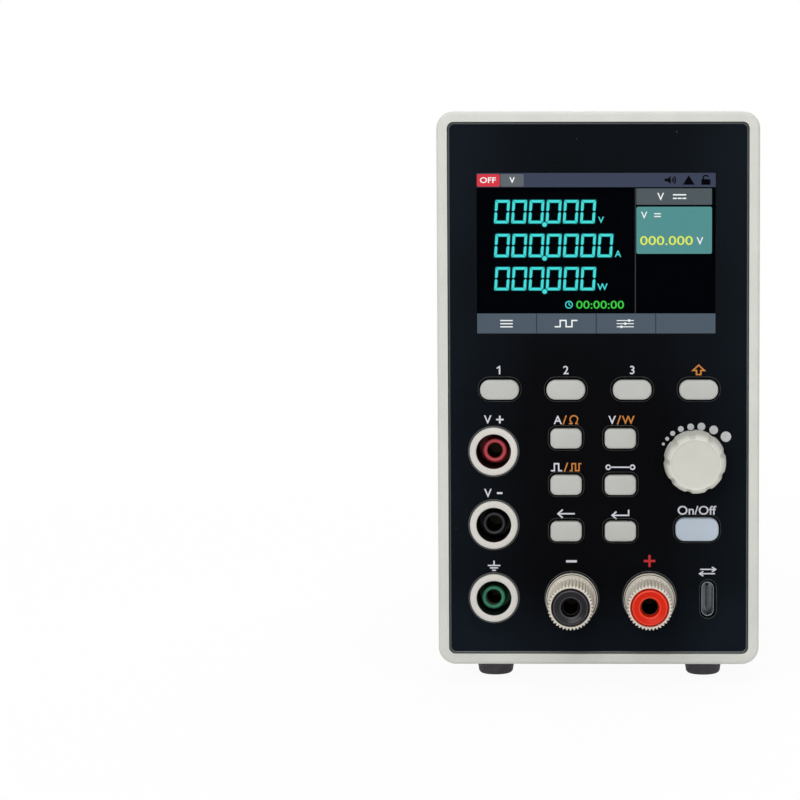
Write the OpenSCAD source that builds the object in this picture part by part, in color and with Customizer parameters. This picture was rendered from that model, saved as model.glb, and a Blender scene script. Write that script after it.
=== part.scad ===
// Bench DC electronic load in a slim upright case. Millimetres, +Z up, front towards -Y.
// The origin is under the middle of the whole instrument, at the level its feet stand on.

/* [Case] */
// Width across the bezels
case_w = 82; // [80:1:96]
// Height of the case without its feet
case_h = 141.2; // [139:0.2:156]
// Depth from the front rim to the rear rim
case_d = 206; // [200:1:240]
// Radius of the case's four long corners
corner_r = 4.4; // [4.4:0.1:6]
// Width of the bezels' rim beside the panels
rim_w = 2.7; // [2.4:0.1:2.9]
// Rounding on the rim's outer edge
rim_r = 0.9; // [0.4:0.1:1.2]
// How far both panels lie behind the rims
panel_recess = 0.8; // [0.4:0.1:1.2]
// Depth of each bezel's outer wall
bezel_d = 9; // [7:0.5:11]
// Thickness of the bezels' outer wall
bezel_wall = 2.6; // [2.4:0.1:2.8]
// Sheet thickness of the cover and the tray
sheet_t = 1; // [0.8:0.1:1.1]
// How far the bezels stand proud of the cover
cover_inset = 0.3; // [0.2:0.1:0.5]
// Height of the tray's side flanges
flange_h = 16; // [14:1:24]

/* [Feet] */
// Height of the feet below the bezels
foot_h = 5; // [3:0.5:7]
// Radius of a foot at the tray
foot_r = 5.15; // [4.5:0.05:6]
// Radius of a foot at the floor
foot_tip_r = 4.5; // [3.6:0.1:4.5]
// Sideways distance of the feet from the middle
foot_x = 27.1; // [20:0.1:29]
// Distance of the feet from the rims
foot_inset = 17; // [17:1:30]

/* [Front panel] */
// Thickness of the front panel
panel_t = 2; // [1.8:0.1:2.4]
// Width of the screen's lit area
screen_w = 60.6; // [56:0.2:62]
// Height of the screen's lit area
screen_h = 40.8; // [36:0.2:42]
// Height of the screen's middle above the panel's middle
screen_z = 34.6; // [33:0.2:37]
// Thickness of the clear lens over the screen
lens_t = 1; // [0.8:0.1:1.2]
// Distance from the panel's back to the control board
board_gap = 7; // [7:0.1:8]

/* [Keys] */
// Width of the keys under the screen
soft_key_w = 9.95; // [9:0.05:11]
// Height of the keys under the screen
soft_key_h = 5.2; // [4.6:0.1:5.6]
// Pitch of the keys under the screen
soft_key_pitch = 16.9; // [16:0.1:17.2]
// Width of the function keys
small_key_w = 8.05; // [7.5:0.05:9]
// Height of the function keys
small_key_h = 5.25; // [4.6:0.05:6]
// Pitch of the function keys' columns
key_column_pitch = 13.85; // [13.4:0.05:14.2]
// Pitch of the function keys' rows
key_row_pitch = 11.9; // [11:0.1:12.4]
// Width of the output key
output_key_w = 11.1; // [10:0.1:12]
// Height of the output key
output_key_h = 6.1; // [5.4:0.1:6.6]
// How far the keys stand out of the panel
key_out = 1.4; // [1.2:0.1:2]
// Travel of the keys
key_travel = 0.8; // [0.5:0.1:1]
// Gap around each key in the panel
key_gap = 0.45; // [0.3:0.05:0.6]

/* [Knob] */
// Radius of the knob's foot
knob_r = 7.95; // [7.4:0.05:8.6]
// Radius of the knob's front face
knob_tip_r = 6.9; // [6.3:0.1:7.2]
// Height of the knob
knob_h = 10; // [9:0.5:13]
// Number of flutes around the knob
knob_flutes = 9; // [6:1:16]
// Gap between the knob and the panel
knob_gap = 0.9; // [0.8:0.1:1.4]
// Travel of the knob when it is pushed
push_travel = 0.5; // [0.3:0.1:0.6]
// Radius of the encoder's shaft
encoder_shaft_r = 3; // [2.6:0.1:3]

/* [Sockets] */
// Pitch of the three sockets
jack_pitch = 18.84; // [18:0.02:20]
// Radius of a socket's collar
jack_r = 6.17; // [5.9:0.01:6.6]
// Inner radius of a socket's collar
jack_bore_r = 4.45; // [4.3:0.05:4.5]
// How far the collar stands out of the panel
jack_out = 1; // [0.6:0.1:1.6]
// Radius of a socket's coloured core
core_r = 3.1; // [2.9:0.05:3.3]
// Radius of the hole that takes a plug
plug_r = 2; // [1.9:0.05:2.1]
// How far the core lies behind the collar's face
core_recess = 3.6; // [3:0.1:4.4]

/* [Binding posts] */
// Distance between the two posts
post_pitch = 19.86; // [18:0.02:22]
// Radius of a post's base
post_base_r = 6.75; // [6.3:0.05:7.2]
// Thickness of a post's base
post_base_t = 2.6; // [2:0.1:3.2]
// Radius over the knurls of a post's sleeve
sleeve_r = 5.8; // [5.6:0.1:6]
// Length of the knurled sleeve
sleeve_l = 13; // [8:0.2:13]
// Radius of the coloured insert
insert_r = 4.85; // [4.6:0.05:5]
// Length of the coloured insert
insert_l = 13.2; // [13:0.2:14]
// Radius of the threaded stud
stud_r = 3; // [2.9:0.05:3.1]
// Number of knurls around a sleeve
knurls = 38; // [24:2:44]

/* [Rear] */
// Thickness of the rear panel
plate_t = 1.5; // [1.2:0.1:2]
// Side of the square fan
fan_size = 60; // [58:1:62]
// Depth of the fan
fan_d = 15; // [13:1:20]
// Pitch of the fan's fixing holes
fan_pitch = 50; // [49:1:51]
// Thickness of the finger guard
guard_t = 1.5; // [1:0.1:2]
// Width of the mains inlet's face
inlet_w = 30; // [29:1:32]
// Height of the mains inlet's face
inlet_h = 42; // [41:1:44]
// Thickness of the mains inlet's face
inlet_face_t = 3.8; // [3.6:0.1:4.4]
// Travel of the fuse drawer
drawer_travel = 15; // [8:1:16]
// Swing of the power rocker
rocker_swing = 24; // [16:1:28]

/* [Power stage] */
// Length of the heatsink
sink_l = 98; // [80:1:100]
// Height of the heatsink's fins
fin_h = 50; // [40:1:52]
// Number of fins
fins = 13; // [8:1:16]
// Thickness of a fin
fin_t = 1.4; // [1:0.1:1.6]
// Thickness of both circuit boards
pcb_t = 1.6; // [1.2:0.1:2]

/* [Hidden] */

$fn = 48;
// Cuts run past faces by this much
overrun = 1;
// Clearance of a part that slides or snaps into another
fit = 0.1;
// Radial clearance of a shaft in its bearing
running_fit = 0.05;
// Radial clearance around screws and in threads
thread_fit = 0.03;

// Positions of the case's faces
washer_t = 1;
post_gap = 0.1;
post_out = post_base_t + post_gap + washer_t + post_gap + insert_l;
front_out = post_out - panel_recess;
rear_out = inlet_face_t - panel_recess;
rim_y = front_out - (front_out + case_d + rear_out) / 2;
panel_y = rim_y + panel_recess;
rear_rim_y = rim_y + case_d;
rear_y = rear_rim_y - panel_recess;
panel_z = foot_h + case_h / 2;
panel_w = case_w - 2 * rim_w;
panel_h = case_h - 2 * rim_w;
panel_fit = 0.15;

// What both panels carry spreads with the case from the size that it was measured on
measured_w = 82;
measured_h = 141.2;
spread_x = case_w / measured_w;
spread_z = case_h / measured_h;

// Bezels
ledge_w = 1.6;
ledge_t = 1.5;
spigot_l = 6;
spigot_in = cover_inset + sheet_t + fit;
lug_w = 9;
lug_h = 3;
lug_l = 8;
lug_x = 15;
lug_screw_in = 5;
boss_r = 4.8;
boss_inset = 7;
boss_l = 9;

// Cover and tray
cover_y = rim_y + bezel_d + fit;
cover_l = case_d - 2 * bezel_d - 2 * fit;
cover_w = case_w - 2 * cover_inset;
cover_h = case_h - 2 * cover_inset;
cover_corner_r = corner_r - cover_inset;
seam_z = foot_h + corner_r + fit;
floor_z = foot_h + cover_inset + sheet_t;
flange_in = cover_inset + sheet_t + fit;
flange_y = cover_y + spigot_l + fit;
flange_l = cover_l - 2 * spigot_l - 2 * fit;
slot_l = 26;
slot_w = 2;
slot_pitch = 7.5;
slot_rows = 8;
slot_columns = 3;
slot_column_pitch = 34;
slot_back = 24;
slot_top = 24;
floor_slots = 7;
floor_slot_l = 30;
floor_slot_pitch = 6;

// Feet
foot_peg_r = 1.9;
foot_peg_l = 2.5;
foot_round = 1.2;
foot_dimple_r = 1.6;
foot_dimple_d = 1.6;
foot_places = [
    for (side = [-1, 1], y = [rim_y + foot_inset, rear_rim_y - foot_inset]) [side * foot_x, y]
];

// Screws
screw_r = 1.5;
screw_head_r = 2.7;
screw_head_h = 1.3;
screw_l = 6;
recess_w = 0.6;
recess_l = 3;
recess_d = 0.8;
side_screw_y = 60;
side_screw_rise = 11;
side_screw_z = foot_h + side_screw_rise;
board_screw_in = 2.5;
middle_screw_z = -6.5;
panel_boss_r = 2.4;

// Screen and lens
screen_x = -0.45;
lit_w = screen_w * spread_x;
lit_h = screen_h * spread_z;
screen_place = [screen_x * spread_x, screen_z * spread_z];
lens_margin = 1.5;
lens_corner_r = 0.8;
window_gap = 0.3;
lcd_border = 3.3;
lcd_t = 3.6;
lcd_peg_r = 1.6;
lcd_peg_in = 4;

// Control board
board_side = 5;
board_end = 5.4;
board_w = case_w - 2 * board_side;
board_h = case_h - 2 * board_end;
board_screw_x = board_w / 2 - board_screw_in;
board_screw_z = board_h / 2 - board_screw_in;
board_y = panel_y + panel_t + board_gap;
board_corner_r = 2;
jack_clear_r = 6.4;
post_clear_r = 7.6;
header_w = 16;
header_h = 6;
header_d = 6;
header_x = 23;
header_z = -14;
header_place = [header_x * spread_x, header_z * spread_z];
chip_w = 12;
chip_t = 1.6;
chip_x = -8;
chip_z = 20;
chip_place = [chip_x * spread_x, chip_z * spread_z];

// Keys and the mat behind them
soft_key_x = -25.17;
soft_key_z = 0.06;
small_key_x = -8.25;
small_key_z = -12.4;
small_key_r = 1.6;
output_key_x = 25.16;
output_key_z = -35.7;
output_key_r = 2.4;
key_flange_gap = 0.2;
key_flange_t = 1;
key_flange_w = 0.9;
key_stem_r = 1.5;
mat_t = 0.8;
mat_edge = 3;
dome_h = 2.2;
dome_r = 2.4;
dome_tip_r = 1.7;
press_gap = 0.1;
key_stem_l = board_gap - mat_t - dome_h - key_travel - press_gap - key_flange_gap - key_flange_t;

// Encoder and knob
knob_x = 24.55;
knob_z = -18.15;
knob_place = [knob_x * spread_x, knob_z * spread_z];
encoder_w = 12;
encoder_gap = 0.5;
encoder_d = board_gap - encoder_gap;
bushing_r = 3.5;
bushing_l = 5;
encoder_wall = 1;
encoder_floor = 0.4;
cavity_r = 4.6;
plunger_r = 4.3;
plunger_t = 2;
journal_r = 2;
journal_l = 1.4;
collar_r = 4.2;
collar_t = 1;
shaft_flat = 0.6;
shaft_end = 1.6;
encoder_nut_af = 10;
encoder_nut_t = 1.8;
knob_hollow_r = 6.3;
knob_hollow_d = 2.8;
knob_edge = 0.9;
flute_r = 3.4;
flute_depth = 0.45;
encoder_front = -panel_t - encoder_gap;
encoder_back = -panel_t - board_gap;
cavity_back = encoder_back + encoder_floor;
plunger_back = cavity_back + push_travel + fit;
shaft_back = plunger_back + plunger_t + fit;
knob_face = knob_gap + knob_h;
shaft_front = knob_face - shaft_end;

// USB receptacle
usb_x = 27.9;
usb_z = -53.8;
usb_place = [usb_x * spread_x, usb_z * spread_z];
usb_w = 3.26;
usb_l = 8.94;
usb_wall = 0.3;
usb_recess = 0.4;
usb_tongue_w = 0.7;
usb_tongue_l = 6.7;
usb_tongue_recess = 0.7;
usb_slot_w = 4;
usb_slot_l = 9.6;

// Sockets
jack_x = -26.74;
jack_z = -15.85;
jack_body_r = 5.2;
jack_l = 14;
core_base_t = 2;
core_neck_l = 2;
core_lip = 1.4;
contact_r = 2.5;
contact_l = 15;
contact_floor = 1.5;
tail_r = 1;
tail_l = 4;
jack_nut_af = 14;
jack_nut_t = 2.5;

// Binding posts
post_x = -6.82;
post_z = -53.6;
post_bush_r = 4.4;
rear_washer_t = 2;
rear_washer_r = 6.5;
stud_rear = 18;
stud_end_gap = 0.4;
insert_cap = 2.2;
insert_out = post_out - insert_l;
stud_front = post_out - insert_cap - stud_end_gap;
stud_bore_rear = 3;
wire_hole_r = 0.9;
wire_hole_rise = 2;
wire_hole_out = post_base_t + wire_hole_rise;
post_washer_r = 5.5;
knurl_depth = 0.4;
sleeve_ring = 1;
sleeve_lip = 0.15;
post_nut_af = 10;
post_nut_t = 2.5;
lug_out = -(panel_t + board_gap) - post_nut_t;
cable_lug_r = 5.5;
cable_lug_t = 1;
cable_lug_l = 10;

// Fan and guard
fan_top_gap = 7.9;
fan_z = panel_h / 2 - fan_size / 2 - fan_top_gap;
fan_wall = 1.2;
fan_bore_r = fan_size / 2 - fan_wall;
fan_corner_r = 3;
fan_lug_t = 3;
fan_waist = 4;
fan_hub_r = 12;
fan_hub_t = 2.5;
fan_strut_w = 3;
fan_axle_r = 1.5;
rotor_gap = 0.8;
rotor_tip_gap = 1.2;
rotor_hub_r = 12.5;
blades = 7;
blade_t = 1.2;
blade_angle = 38;
blade_lean = 4;
guard_rings = 4;
guard_ring_pitch = 6;
guard_wire = 1.6;
guard_hub_r = 3.4;
guard_eye_r = 3.8;
fan_hole_side = 2;
fan_hole_r = fan_size / 2 - fan_hole_side;

// Mains inlet, fuse drawer and fuse
inlet_x = -15;
inlet_z = -40;
inlet_at = [inlet_x * spread_x, inlet_z * spread_z];
inlet_corner_r = 1.5;
inlet_lip = 1.7;
inlet_body_w = inlet_w - 2 * inlet_lip;
inlet_body_h = inlet_h - 2 * inlet_lip;
inlet_body_d = 23;
cavity_w = 24.4;
cavity_h = 16.8;
cavity_d = 17;
cavity_chamfer = 4.5;
cavity_wall = 1;
cavity_z = -inlet_body_h / 2 + cavity_wall + cavity_h / 2;
pin_pitch = 7;
pin_w = 2;
pin_h = 4;
pin_rise = 4;
pin_places = [[-pin_pitch, -pin_rise / 2], [pin_pitch, -pin_rise / 2], [0, pin_rise / 2]];
pin_l = 13.5;
tab_l = 9;
tab_w = 3.8;
tab_t = 0.8;
drawer_w = 22.6;
drawer_h = 9.2;
drawer_d = 20;
drawer_gap = 0.2;
drawer_z = 10;
drawer_front = 2.4;
drawer_notch = 1.2;
fuse_r = 2.6;
fuse_l = 20;
fuse_gap = 0.2;
fuse_floor = 1.4;
fuse_pocket_w = 2 * fuse_r + 2 * fuse_gap;
fuse_pocket_z = drawer_d - drawer_front - fuse_pocket_w;

// Power switch
switch_x = 22;
switch_z = -40;
switch_at = [switch_x * spread_x, switch_z * spread_z];
switch_flange_w = 15;
switch_flange_h = 21;
switch_flange_t = 1.6;
switch_body_w = 12.6;
switch_body_h = 18.8;
switch_body_d = 16;
switch_well_w = 10.6;
switch_well_h = 17;
switch_well_d = 8;
rocker_w = 10.2;
rocker_half = 8;
rocker_edge = 1.2;
rocker_dip = 0.5;
rocker_skirt = 1.8;
rocker_keel = 4.5;
rocker_keel_half = 3;
rocker_pivot_out = 0.6;
rocker_pin_r = 1.2;
rocker_pin_l = 0.9;
rocker_span = rocker_w + 2 * rocker_pin_l;

// Heatsink and transistors
sink_side = 7;
sink_w = case_w - 2 * sink_side;
sink_base_t = 5;
sink_leg_t = 3;
sink_foot_w = 8.5;
sink_foot_t = 4;
sink_fan_gap = 2;
sink_y = rear_y - plate_t - fan_d - sink_fan_gap - sink_l;
sink_base_z = panel_z + fan_z - fan_size / 2 - sink_base_t;
fin_side = 4;
fin_span = sink_w - 2 * fin_side;
sink_screw_x = sink_w / 2 - sink_foot_w / 2;
sink_screw_in = 12;
transistor_w = 15.9;
transistor_l = 20.8;
transistor_t = 5;
transistor_x = 13;
transistor_rows = 2;
transistor_row_pitch = 42;
transistor_in = 16;
lead_w = 1.2;
lead_t = 0.6;
lead_l = 12;
lead_pitch = 5.45;

// Power board and what stands on it
standoff_h = 6;
standoff_r = 3;
power_board_z = floor_z + standoff_h;
power_board_gap = 9;
power_board_y = rim_y + bezel_d + spigot_l + power_board_gap;
power_board_l = 150;
power_board_side = 7.5;
power_board_w = sink_w - 2 * power_board_side;
power_wing_w = sink_w;
power_wing_l = 52;
power_hole_side = 4.5;
power_hole_x = power_board_w / 2 - power_hole_side;
power_hole_in = 5;
wing_hole_side = 3;
wing_hole_x = power_wing_w / 2 - wing_hole_side;
wing_hole_in = 20;
part_z = power_board_z + pcb_t;
power_hole_places = [
    for (side = [-1, 1], h = [[wing_hole_x, wing_hole_in], [power_hole_x, power_board_l - power_hole_in]])
        [side * h[0], power_board_y + h[1]]
];
block_w = 10;
block_l = 10;
block_h = 10;
block_in = 16;
ribbon_header_h = 8;
ribbon_header_in = 6;
cap_r = 8.2;
cap_h = 28;
cap_pitch = 17;
cap_in = 56;
relay_w = 15;
relay_l = 19;
relay_h = 15.5;
relay_side = 12;
relay_x = power_wing_w / 2 - relay_side;
relay_in = 42;
shunt_w = 6;
shunt_l = 9;
shunt_h = 7;
shunt_t = 1;
shunts = 3;
shunt_side = 7;
shunt_x = shunt_side - power_wing_w / 2;
shunt_in = 18;
shunt_pitch = 11;
core_w = 40;
core_l = 20;
core_air = 17.7;
core_h = sink_base_z - transistor_t - core_air - part_z;
bobbin_w = 26;
bobbin_l = 34;
bobbin_share = 12 / 17;
bobbin_h = core_h * bobbin_share;
transformer_in = 116;

// Cables
ribbon_w = 14;
ribbon_t = 1;
ribbon_bend_r = 4;
ribbon_run = 12;
cable_r = 2;
cable_sides = 8;
cable_steps = 6;
cable_run = 9;
cable_arch = 13;
cable_drop = 9;
cable_bend = 8;
cable_gap = 0.2;

// Width and height are the outline's overall sizes; round corners stay true arcs
module rounded(w, h, r) {
    square([w - 2 * r, h], center = true);
    square([w, h - 2 * r], center = true);
    for (sx = [-1, 1], sy = [-1, 1])
        translate([sx * (w / 2 - r), sy * (h / 2 - r)]) circle(r);
}

// A bar with half-round ends, longer along X
module stadium(l, w) {
    square([l - w, w], center = true);
    for (side = [-1, 1]) translate([side * (l - w) / 2, 0]) circle(w / 2);
}

module hexagon(across_flats) {
    circle(across_flats / 2 / cos(30), $fn = 6);
}

module tube(r_out, r_in, h) {
    difference() {
        cylinder(r = r_out, h = h);
        translate([0, 0, -overrun]) cylinder(r = r_in, h = h + 2 * overrun);
    }
}

// Drawn on the front panel's face: X to the right, Y up, Z out of the panel
module on_front(x, z, out = 0) {
    translate([x, panel_y - out, panel_z + z]) rotate([90, 0, 0]) children();
}

// Drawn on the rear panel's face: X to the left, Y up, Z out of the panel
module on_rear(x, z, out = 0) {
    translate([x, rear_y + out, panel_z + z]) rotate([90, 0, 180]) children();
}

// Carries a section (inward, outward) around the case's rounded rectangle
module around_case() {
    for (i = [0:3]) {
        half = (i % 2 == 0 ? case_w : case_h) / 2;
        run = (i % 2 == 0 ? case_h : case_w) - 2 * corner_r;
        rotate([0, 0, 90 * i]) {
            translate([half, 0, 0]) rotate([90, 0, 180]) linear_extrude(run, center = true) children();
            translate([half - corner_r, run / 2, 0])
                rotate_extrude(angle = 90) translate([corner_r, 0]) mirror([1, 0]) children();
        }
    }
}

// Wall, rim, panel ledge and the spigot that the cover slides over; 0 outward is the panel's face
module bezel_section(seat_t) {
    back = panel_recess - bezel_d;
    translate([0, back]) square([bezel_wall, bezel_d - rim_r]);
    translate([rim_r, -seat_t]) square([rim_w - rim_r, seat_t + panel_recess]);
    translate([rim_r, panel_recess - rim_r]) circle(rim_r);
    translate([rim_r, -seat_t - ledge_t]) square([rim_w + ledge_w - rim_r, ledge_t]);
    translate([spigot_in, back - spigot_l]) square([bezel_wall - spigot_in, bezel_d]);
}

// Blocks inside the spigot that the tray is screwed to
module bezel_lugs() {
    lug_y = -case_h / 2 + (spigot_in + bezel_wall) / 2;
    for (side = [-1, 1])
        translate([side * lug_x - lug_w / 2, lug_y, panel_recess - bezel_d - lug_l])
            cube([lug_w, lug_h, lug_l]);
}

module bezel(seat_t) {
    around_case() bezel_section(seat_t);
    bezel_lugs();
}

module front_bezel() {
    color([0.83, 0.83, 0.80]) difference() {
        on_front(0, 0) bezel(panel_t);
        screw_cuts();
    }
}

module rear_bezel() {
    boss_x = case_w / 2 - boss_inset;
    boss_z = case_h / 2 - boss_inset;
    color([0.83, 0.83, 0.80]) difference() {
        union() {
            on_rear(0, 0) bezel(plate_t);
            for (sx = [-1, 1], sz = [-1, 1])
                on_rear(sx * boss_x, sz * boss_z, -plate_t - boss_l) cylinder(r = boss_r, h = boss_l);
        }
        screw_cuts();
    }
}

module key_hole(w, h, r) {
    rounded(w + 2 * key_gap, h + 2 * key_gap, r + key_gap);
}

// Every key as [x, z, width, height, corner radius]
function soft_key(i) = [
    (soft_key_x + i * soft_key_pitch) * spread_x, soft_key_z * spread_z,
    soft_key_w, soft_key_h, soft_key_h / 2 - fit
];
function small_key(column, row) = [
    (small_key_x + column * key_column_pitch) * spread_x, (small_key_z - row * key_row_pitch) * spread_z,
    small_key_w, small_key_h, small_key_r
];
output_key_place = [
    output_key_x * spread_x, output_key_z * spread_z,
    output_key_w, output_key_h, output_key_r
];
key_places = concat(
    [for (i = [0:3]) soft_key(i)],
    [for (column = [0:1], row = [0:2]) small_key(column, row)],
    [output_key_place]
);
jack_places = [for (i = [0:2]) [jack_x * spread_x, (jack_z - i * jack_pitch) * spread_z]];
post_places = [for (i = [0:1]) [(post_x + i * post_pitch) * spread_x, post_z * spread_z]];
board_screw_places = [
    for (side = [-1, 1], z = [board_screw_z, middle_screw_z * spread_z, -board_screw_z])
        [side * board_screw_x, z]
];

module front_panel() {
    pocket_w = lit_w + 2 * lens_margin + 2 * fit;
    pocket_h = lit_h + 2 * lens_margin + 2 * fit;
    color([0.06, 0.08, 0.11]) difference() {
        union() {
            on_front(0, 0, -panel_t) linear_extrude(panel_t) difference() {
                rounded(panel_w - 2 * panel_fit, panel_h - 2 * panel_fit, corner_r - rim_w);
                translate(screen_place)
                    square([lit_w + 2 * window_gap, lit_h + 2 * window_gap], center = true);
                for (k = key_places) translate([k[0], k[1]]) key_hole(k[2], k[3], k[4]);
                for (j = jack_places) translate(j) circle(jack_body_r + fit);
                for (p = post_places) translate(p) circle(post_bush_r + fit);
                translate(knob_place) circle(bushing_r + fit);
                translate(usb_place) rotate(90) stadium(usb_slot_l, usb_slot_w);
            }
            for (b = board_screw_places)
                on_front(b[0], b[1], -panel_t - board_gap) cylinder(r = panel_boss_r, h = board_gap);
        }
        on_front(screen_place[0], screen_place[1], -lens_t) linear_extrude(lens_t + overrun)
            rounded(pocket_w, pocket_h, lens_corner_r + fit);
        screw_cuts();
    }
}

module display_lens() {
    color([0.5, 0.55, 0.6, 0.4]) on_front(screen_place[0], screen_place[1], -lens_t) linear_extrude(lens_t)
        rounded(lit_w + 2 * lens_margin, lit_h + 2 * lens_margin, lens_corner_r);
}

// The sheet's section: a rounded ring as wide and high as the cover
module sheet_ring() {
    difference() {
        rounded(cover_w, cover_h, cover_corner_r);
        rounded(cover_w - 2 * sheet_t, cover_h - 2 * sheet_t, cover_corner_r - sheet_t);
    }
}

// Extrudes a section seen from the front along the case, from y over a length
module along_case(y, l) {
    translate([0, y + l, panel_z]) rotate([90, 0, 0]) linear_extrude(l) children();
}

module cover() {
    seam = seam_z - panel_z;
    slots_y = rear_rim_y - bezel_d - slot_back;
    slots_z = foot_h + case_h - slot_top;
    color([0.81, 0.81, 0.78]) difference() {
        along_case(cover_y, cover_l) intersection() {
            sheet_ring();
            translate([-cover_w, seam]) square([2 * cover_w, cover_h]);
        }
        for (row = [0:slot_rows - 1], column = [0:slot_columns - 1])
            translate([0, slots_y - column * slot_column_pitch, slots_z - row * slot_pitch])
                rotate([90, 0, 90]) linear_extrude(case_w + 2 * overrun, center = true)
                    stadium(slot_l, slot_w);
        screw_cuts();
    }
}

module chassis_tray() {
    color([0.72, 0.74, 0.75]) difference() {
        union() {
            along_case(cover_y, cover_l) difference() {
                sheet_ring();
                translate([-cover_w, foot_h + corner_r - panel_z]) square([2 * cover_w, cover_h]);
            }
            for (side = [0, 1]) mirror([side, 0, 0]) along_case(flange_y, flange_l) intersection() {
                rounded(cover_w, cover_h, cover_corner_r);
                translate([case_w / 2 - flange_in - sheet_t, -cover_h / 2]) square([sheet_t, flange_h]);
            }
            for (h = power_hole_places) translate([h[0], h[1], floor_z - sheet_t / 2])
                cylinder(r = standoff_r, h = standoff_h + sheet_t / 2);
        }
        for (f = foot_places) translate([f[0], f[1], foot_h])
            cylinder(r = foot_peg_r + thread_fit, h = foot_h);
        for (i = [0:floor_slots - 1])
            translate([(i - (floor_slots - 1) / 2) * floor_slot_pitch, 0, foot_h])
                rotate([0, 0, 90]) linear_extrude(2 * sheet_t) stadium(floor_slot_l, slot_w);
        screw_cuts();
    }
}

module rubber_feet() {
    top = foot_h + cover_inset;
    color([0.22, 0.21, 0.22]) for (f = foot_places) translate([f[0], f[1], 0]) difference() {
        union() {
            rotate_extrude() difference() {
                polygon([[0, 0], [foot_tip_r, 0], [foot_tip_r, foot_round], [foot_r, top], [0, top]]);
                translate([foot_tip_r - foot_round, 0]) difference() {
                    square([foot_round + overrun, foot_round]);
                    translate([0, foot_round]) circle(foot_round);
                }
            }
            translate([0, 0, top - foot_round]) cylinder(r = foot_peg_r, h = foot_peg_l + foot_round);
        }
        translate([0, 0, -overrun]) cylinder(r = foot_dimple_r, h = foot_dimple_d + overrun);
    }
}

// A countersunk screw with its head's face at 0 and its shank along -Z
module screw_shape(gap) {
    translate([0, 0, -screw_head_h])
        cylinder(r1 = screw_r + gap, r2 = screw_head_r + gap, h = screw_head_h);
    translate([0, 0, -screw_l - gap]) cylinder(r = screw_r + gap, h = screw_l + gap - screw_head_h / 2);
}

// Sets its children at every screw, pointing out of the head
module at_screws() {
    for (side = [-1, 1], y = [-side_screw_y, side_screw_y])
        translate([side * cover_w / 2, y, side_screw_z]) rotate([0, side * 90, 0]) children();
    for (side = [-1, 1], y = [cover_y + lug_screw_in, cover_y + cover_l - lug_screw_in])
        translate([side * lug_x, y, foot_h + cover_inset]) rotate([180, 0, 0]) children();
    for (sx = [-1, 1], sz = [-1, 1])
        on_rear(sx * (case_w / 2 - boss_inset), sz * (case_h / 2 - boss_inset)) children();
    for (sx = [-1, 1], sz = [-1, 1])
        on_rear(sx * fan_pitch / 2, fan_z + sz * fan_pitch / 2, guard_t) children();
    for (b = board_screw_places)
        on_front(b[0], b[1], -panel_t - board_gap - pcb_t) rotate([180, 0, 0]) children();
    for (side = [-1, 1], y = [sink_y + sink_screw_in, sink_y + sink_l - sink_screw_in])
        translate([side * sink_screw_x, y, foot_h + cover_inset]) rotate([180, 0, 0]) children();
    for (h = power_hole_places)
        translate([h[0], h[1], part_z]) children();
}

module screw_cuts() {
    at_screws() screw_shape(thread_fit);
}

module screws() {
    color([0.75, 0.76, 0.77]) at_screws() difference() {
        screw_shape(0);
        for (turn = [0, 90]) rotate(turn)
            cube([recess_l, recess_w, 2 * recess_d], center = true);
    }
}

module control_board() {
    color([0.05, 0.30, 0.20]) {
        difference() {
            on_front(0, 0, -panel_t - board_gap - pcb_t) linear_extrude(pcb_t) difference() {
                rounded(board_w, board_h, board_corner_r);
                for (j = jack_places) translate(j) circle(jack_clear_r);
                for (p = post_places) translate(p) circle(post_clear_r);
            }
            screw_cuts();
        }
        on_front(header_place[0], header_place[1], -panel_t - board_gap - pcb_t - header_d)
            linear_extrude(header_d) square([header_w, header_h], center = true);
        on_front(chip_place[0], chip_place[1], -panel_t - board_gap - pcb_t - chip_t)
            linear_extrude(chip_t) square(chip_w, center = true);
    }
}

module lcd_module() {
    lcd_w = lit_w + 2 * lcd_border;
    lcd_h = lit_h + 2 * lcd_border;
    color([0.10, 0.12, 0.16]) {
        on_front(screen_place[0], screen_place[1], -panel_t - lcd_t) linear_extrude(lcd_t)
            square([lcd_w, lcd_h], center = true);
        for (sx = [-1, 1], sz = [-1, 1]) on_front(screen_place[0], screen_place[1], -panel_t - board_gap)
            translate([sx * (lcd_w / 2 - lcd_peg_in), sz * (lcd_h / 2 - lcd_peg_in), 0])
                cylinder(r = lcd_peg_r, h = board_gap - lcd_t);
    }
}

// The mat's web behind the keys between two places, with an edge around them
module mat_block(x, z) {
    on_front((x[0] + x[1]) / 2, (z[0] + z[1]) / 2, -panel_t - board_gap) linear_extrude(mat_t)
        square([x[1] - x[0] + 2 * mat_edge, z[1] - z[0] + 2 * mat_edge], center = true);
}

module keypad_mat() {
    first = small_key(0, 0);
    last = small_key(1, 2);
    row_start = soft_key(0);
    row_end = soft_key(3);
    color([0.75, 0.76, 0.78]) {
        mat_block([row_start[0], row_end[0]], [row_start[1], row_end[1]]);
        mat_block([first[0], last[0]], [last[1], row_start[1]]);
        mat_block([first[0], output_key_place[0]], [output_key_place[1], output_key_place[1]]);
        for (k = key_places) on_front(k[0], k[1], -panel_t - board_gap + mat_t)
            cylinder(r1 = dome_r, r2 = dome_tip_r, h = dome_h);
    }
}

// A key: its cap through the panel, the flange that keeps it in and the stem over the dome
module key(k, tint) {
    back = -panel_t - key_flange_gap;
    color(tint) {
        on_front(k[0], k[1], back) linear_extrude(-back + key_out) rounded(k[2], k[3], k[4]);
        on_front(k[0], k[1], back - key_flange_t) linear_extrude(key_flange_t)
            rounded(k[2] + 2 * key_flange_w, k[3] + 2 * key_flange_w, k[4] + key_flange_w);
        on_front(k[0], k[1], back - key_flange_t - key_stem_l) cylinder(r = key_stem_r, h = key_stem_l);
    }
}

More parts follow.
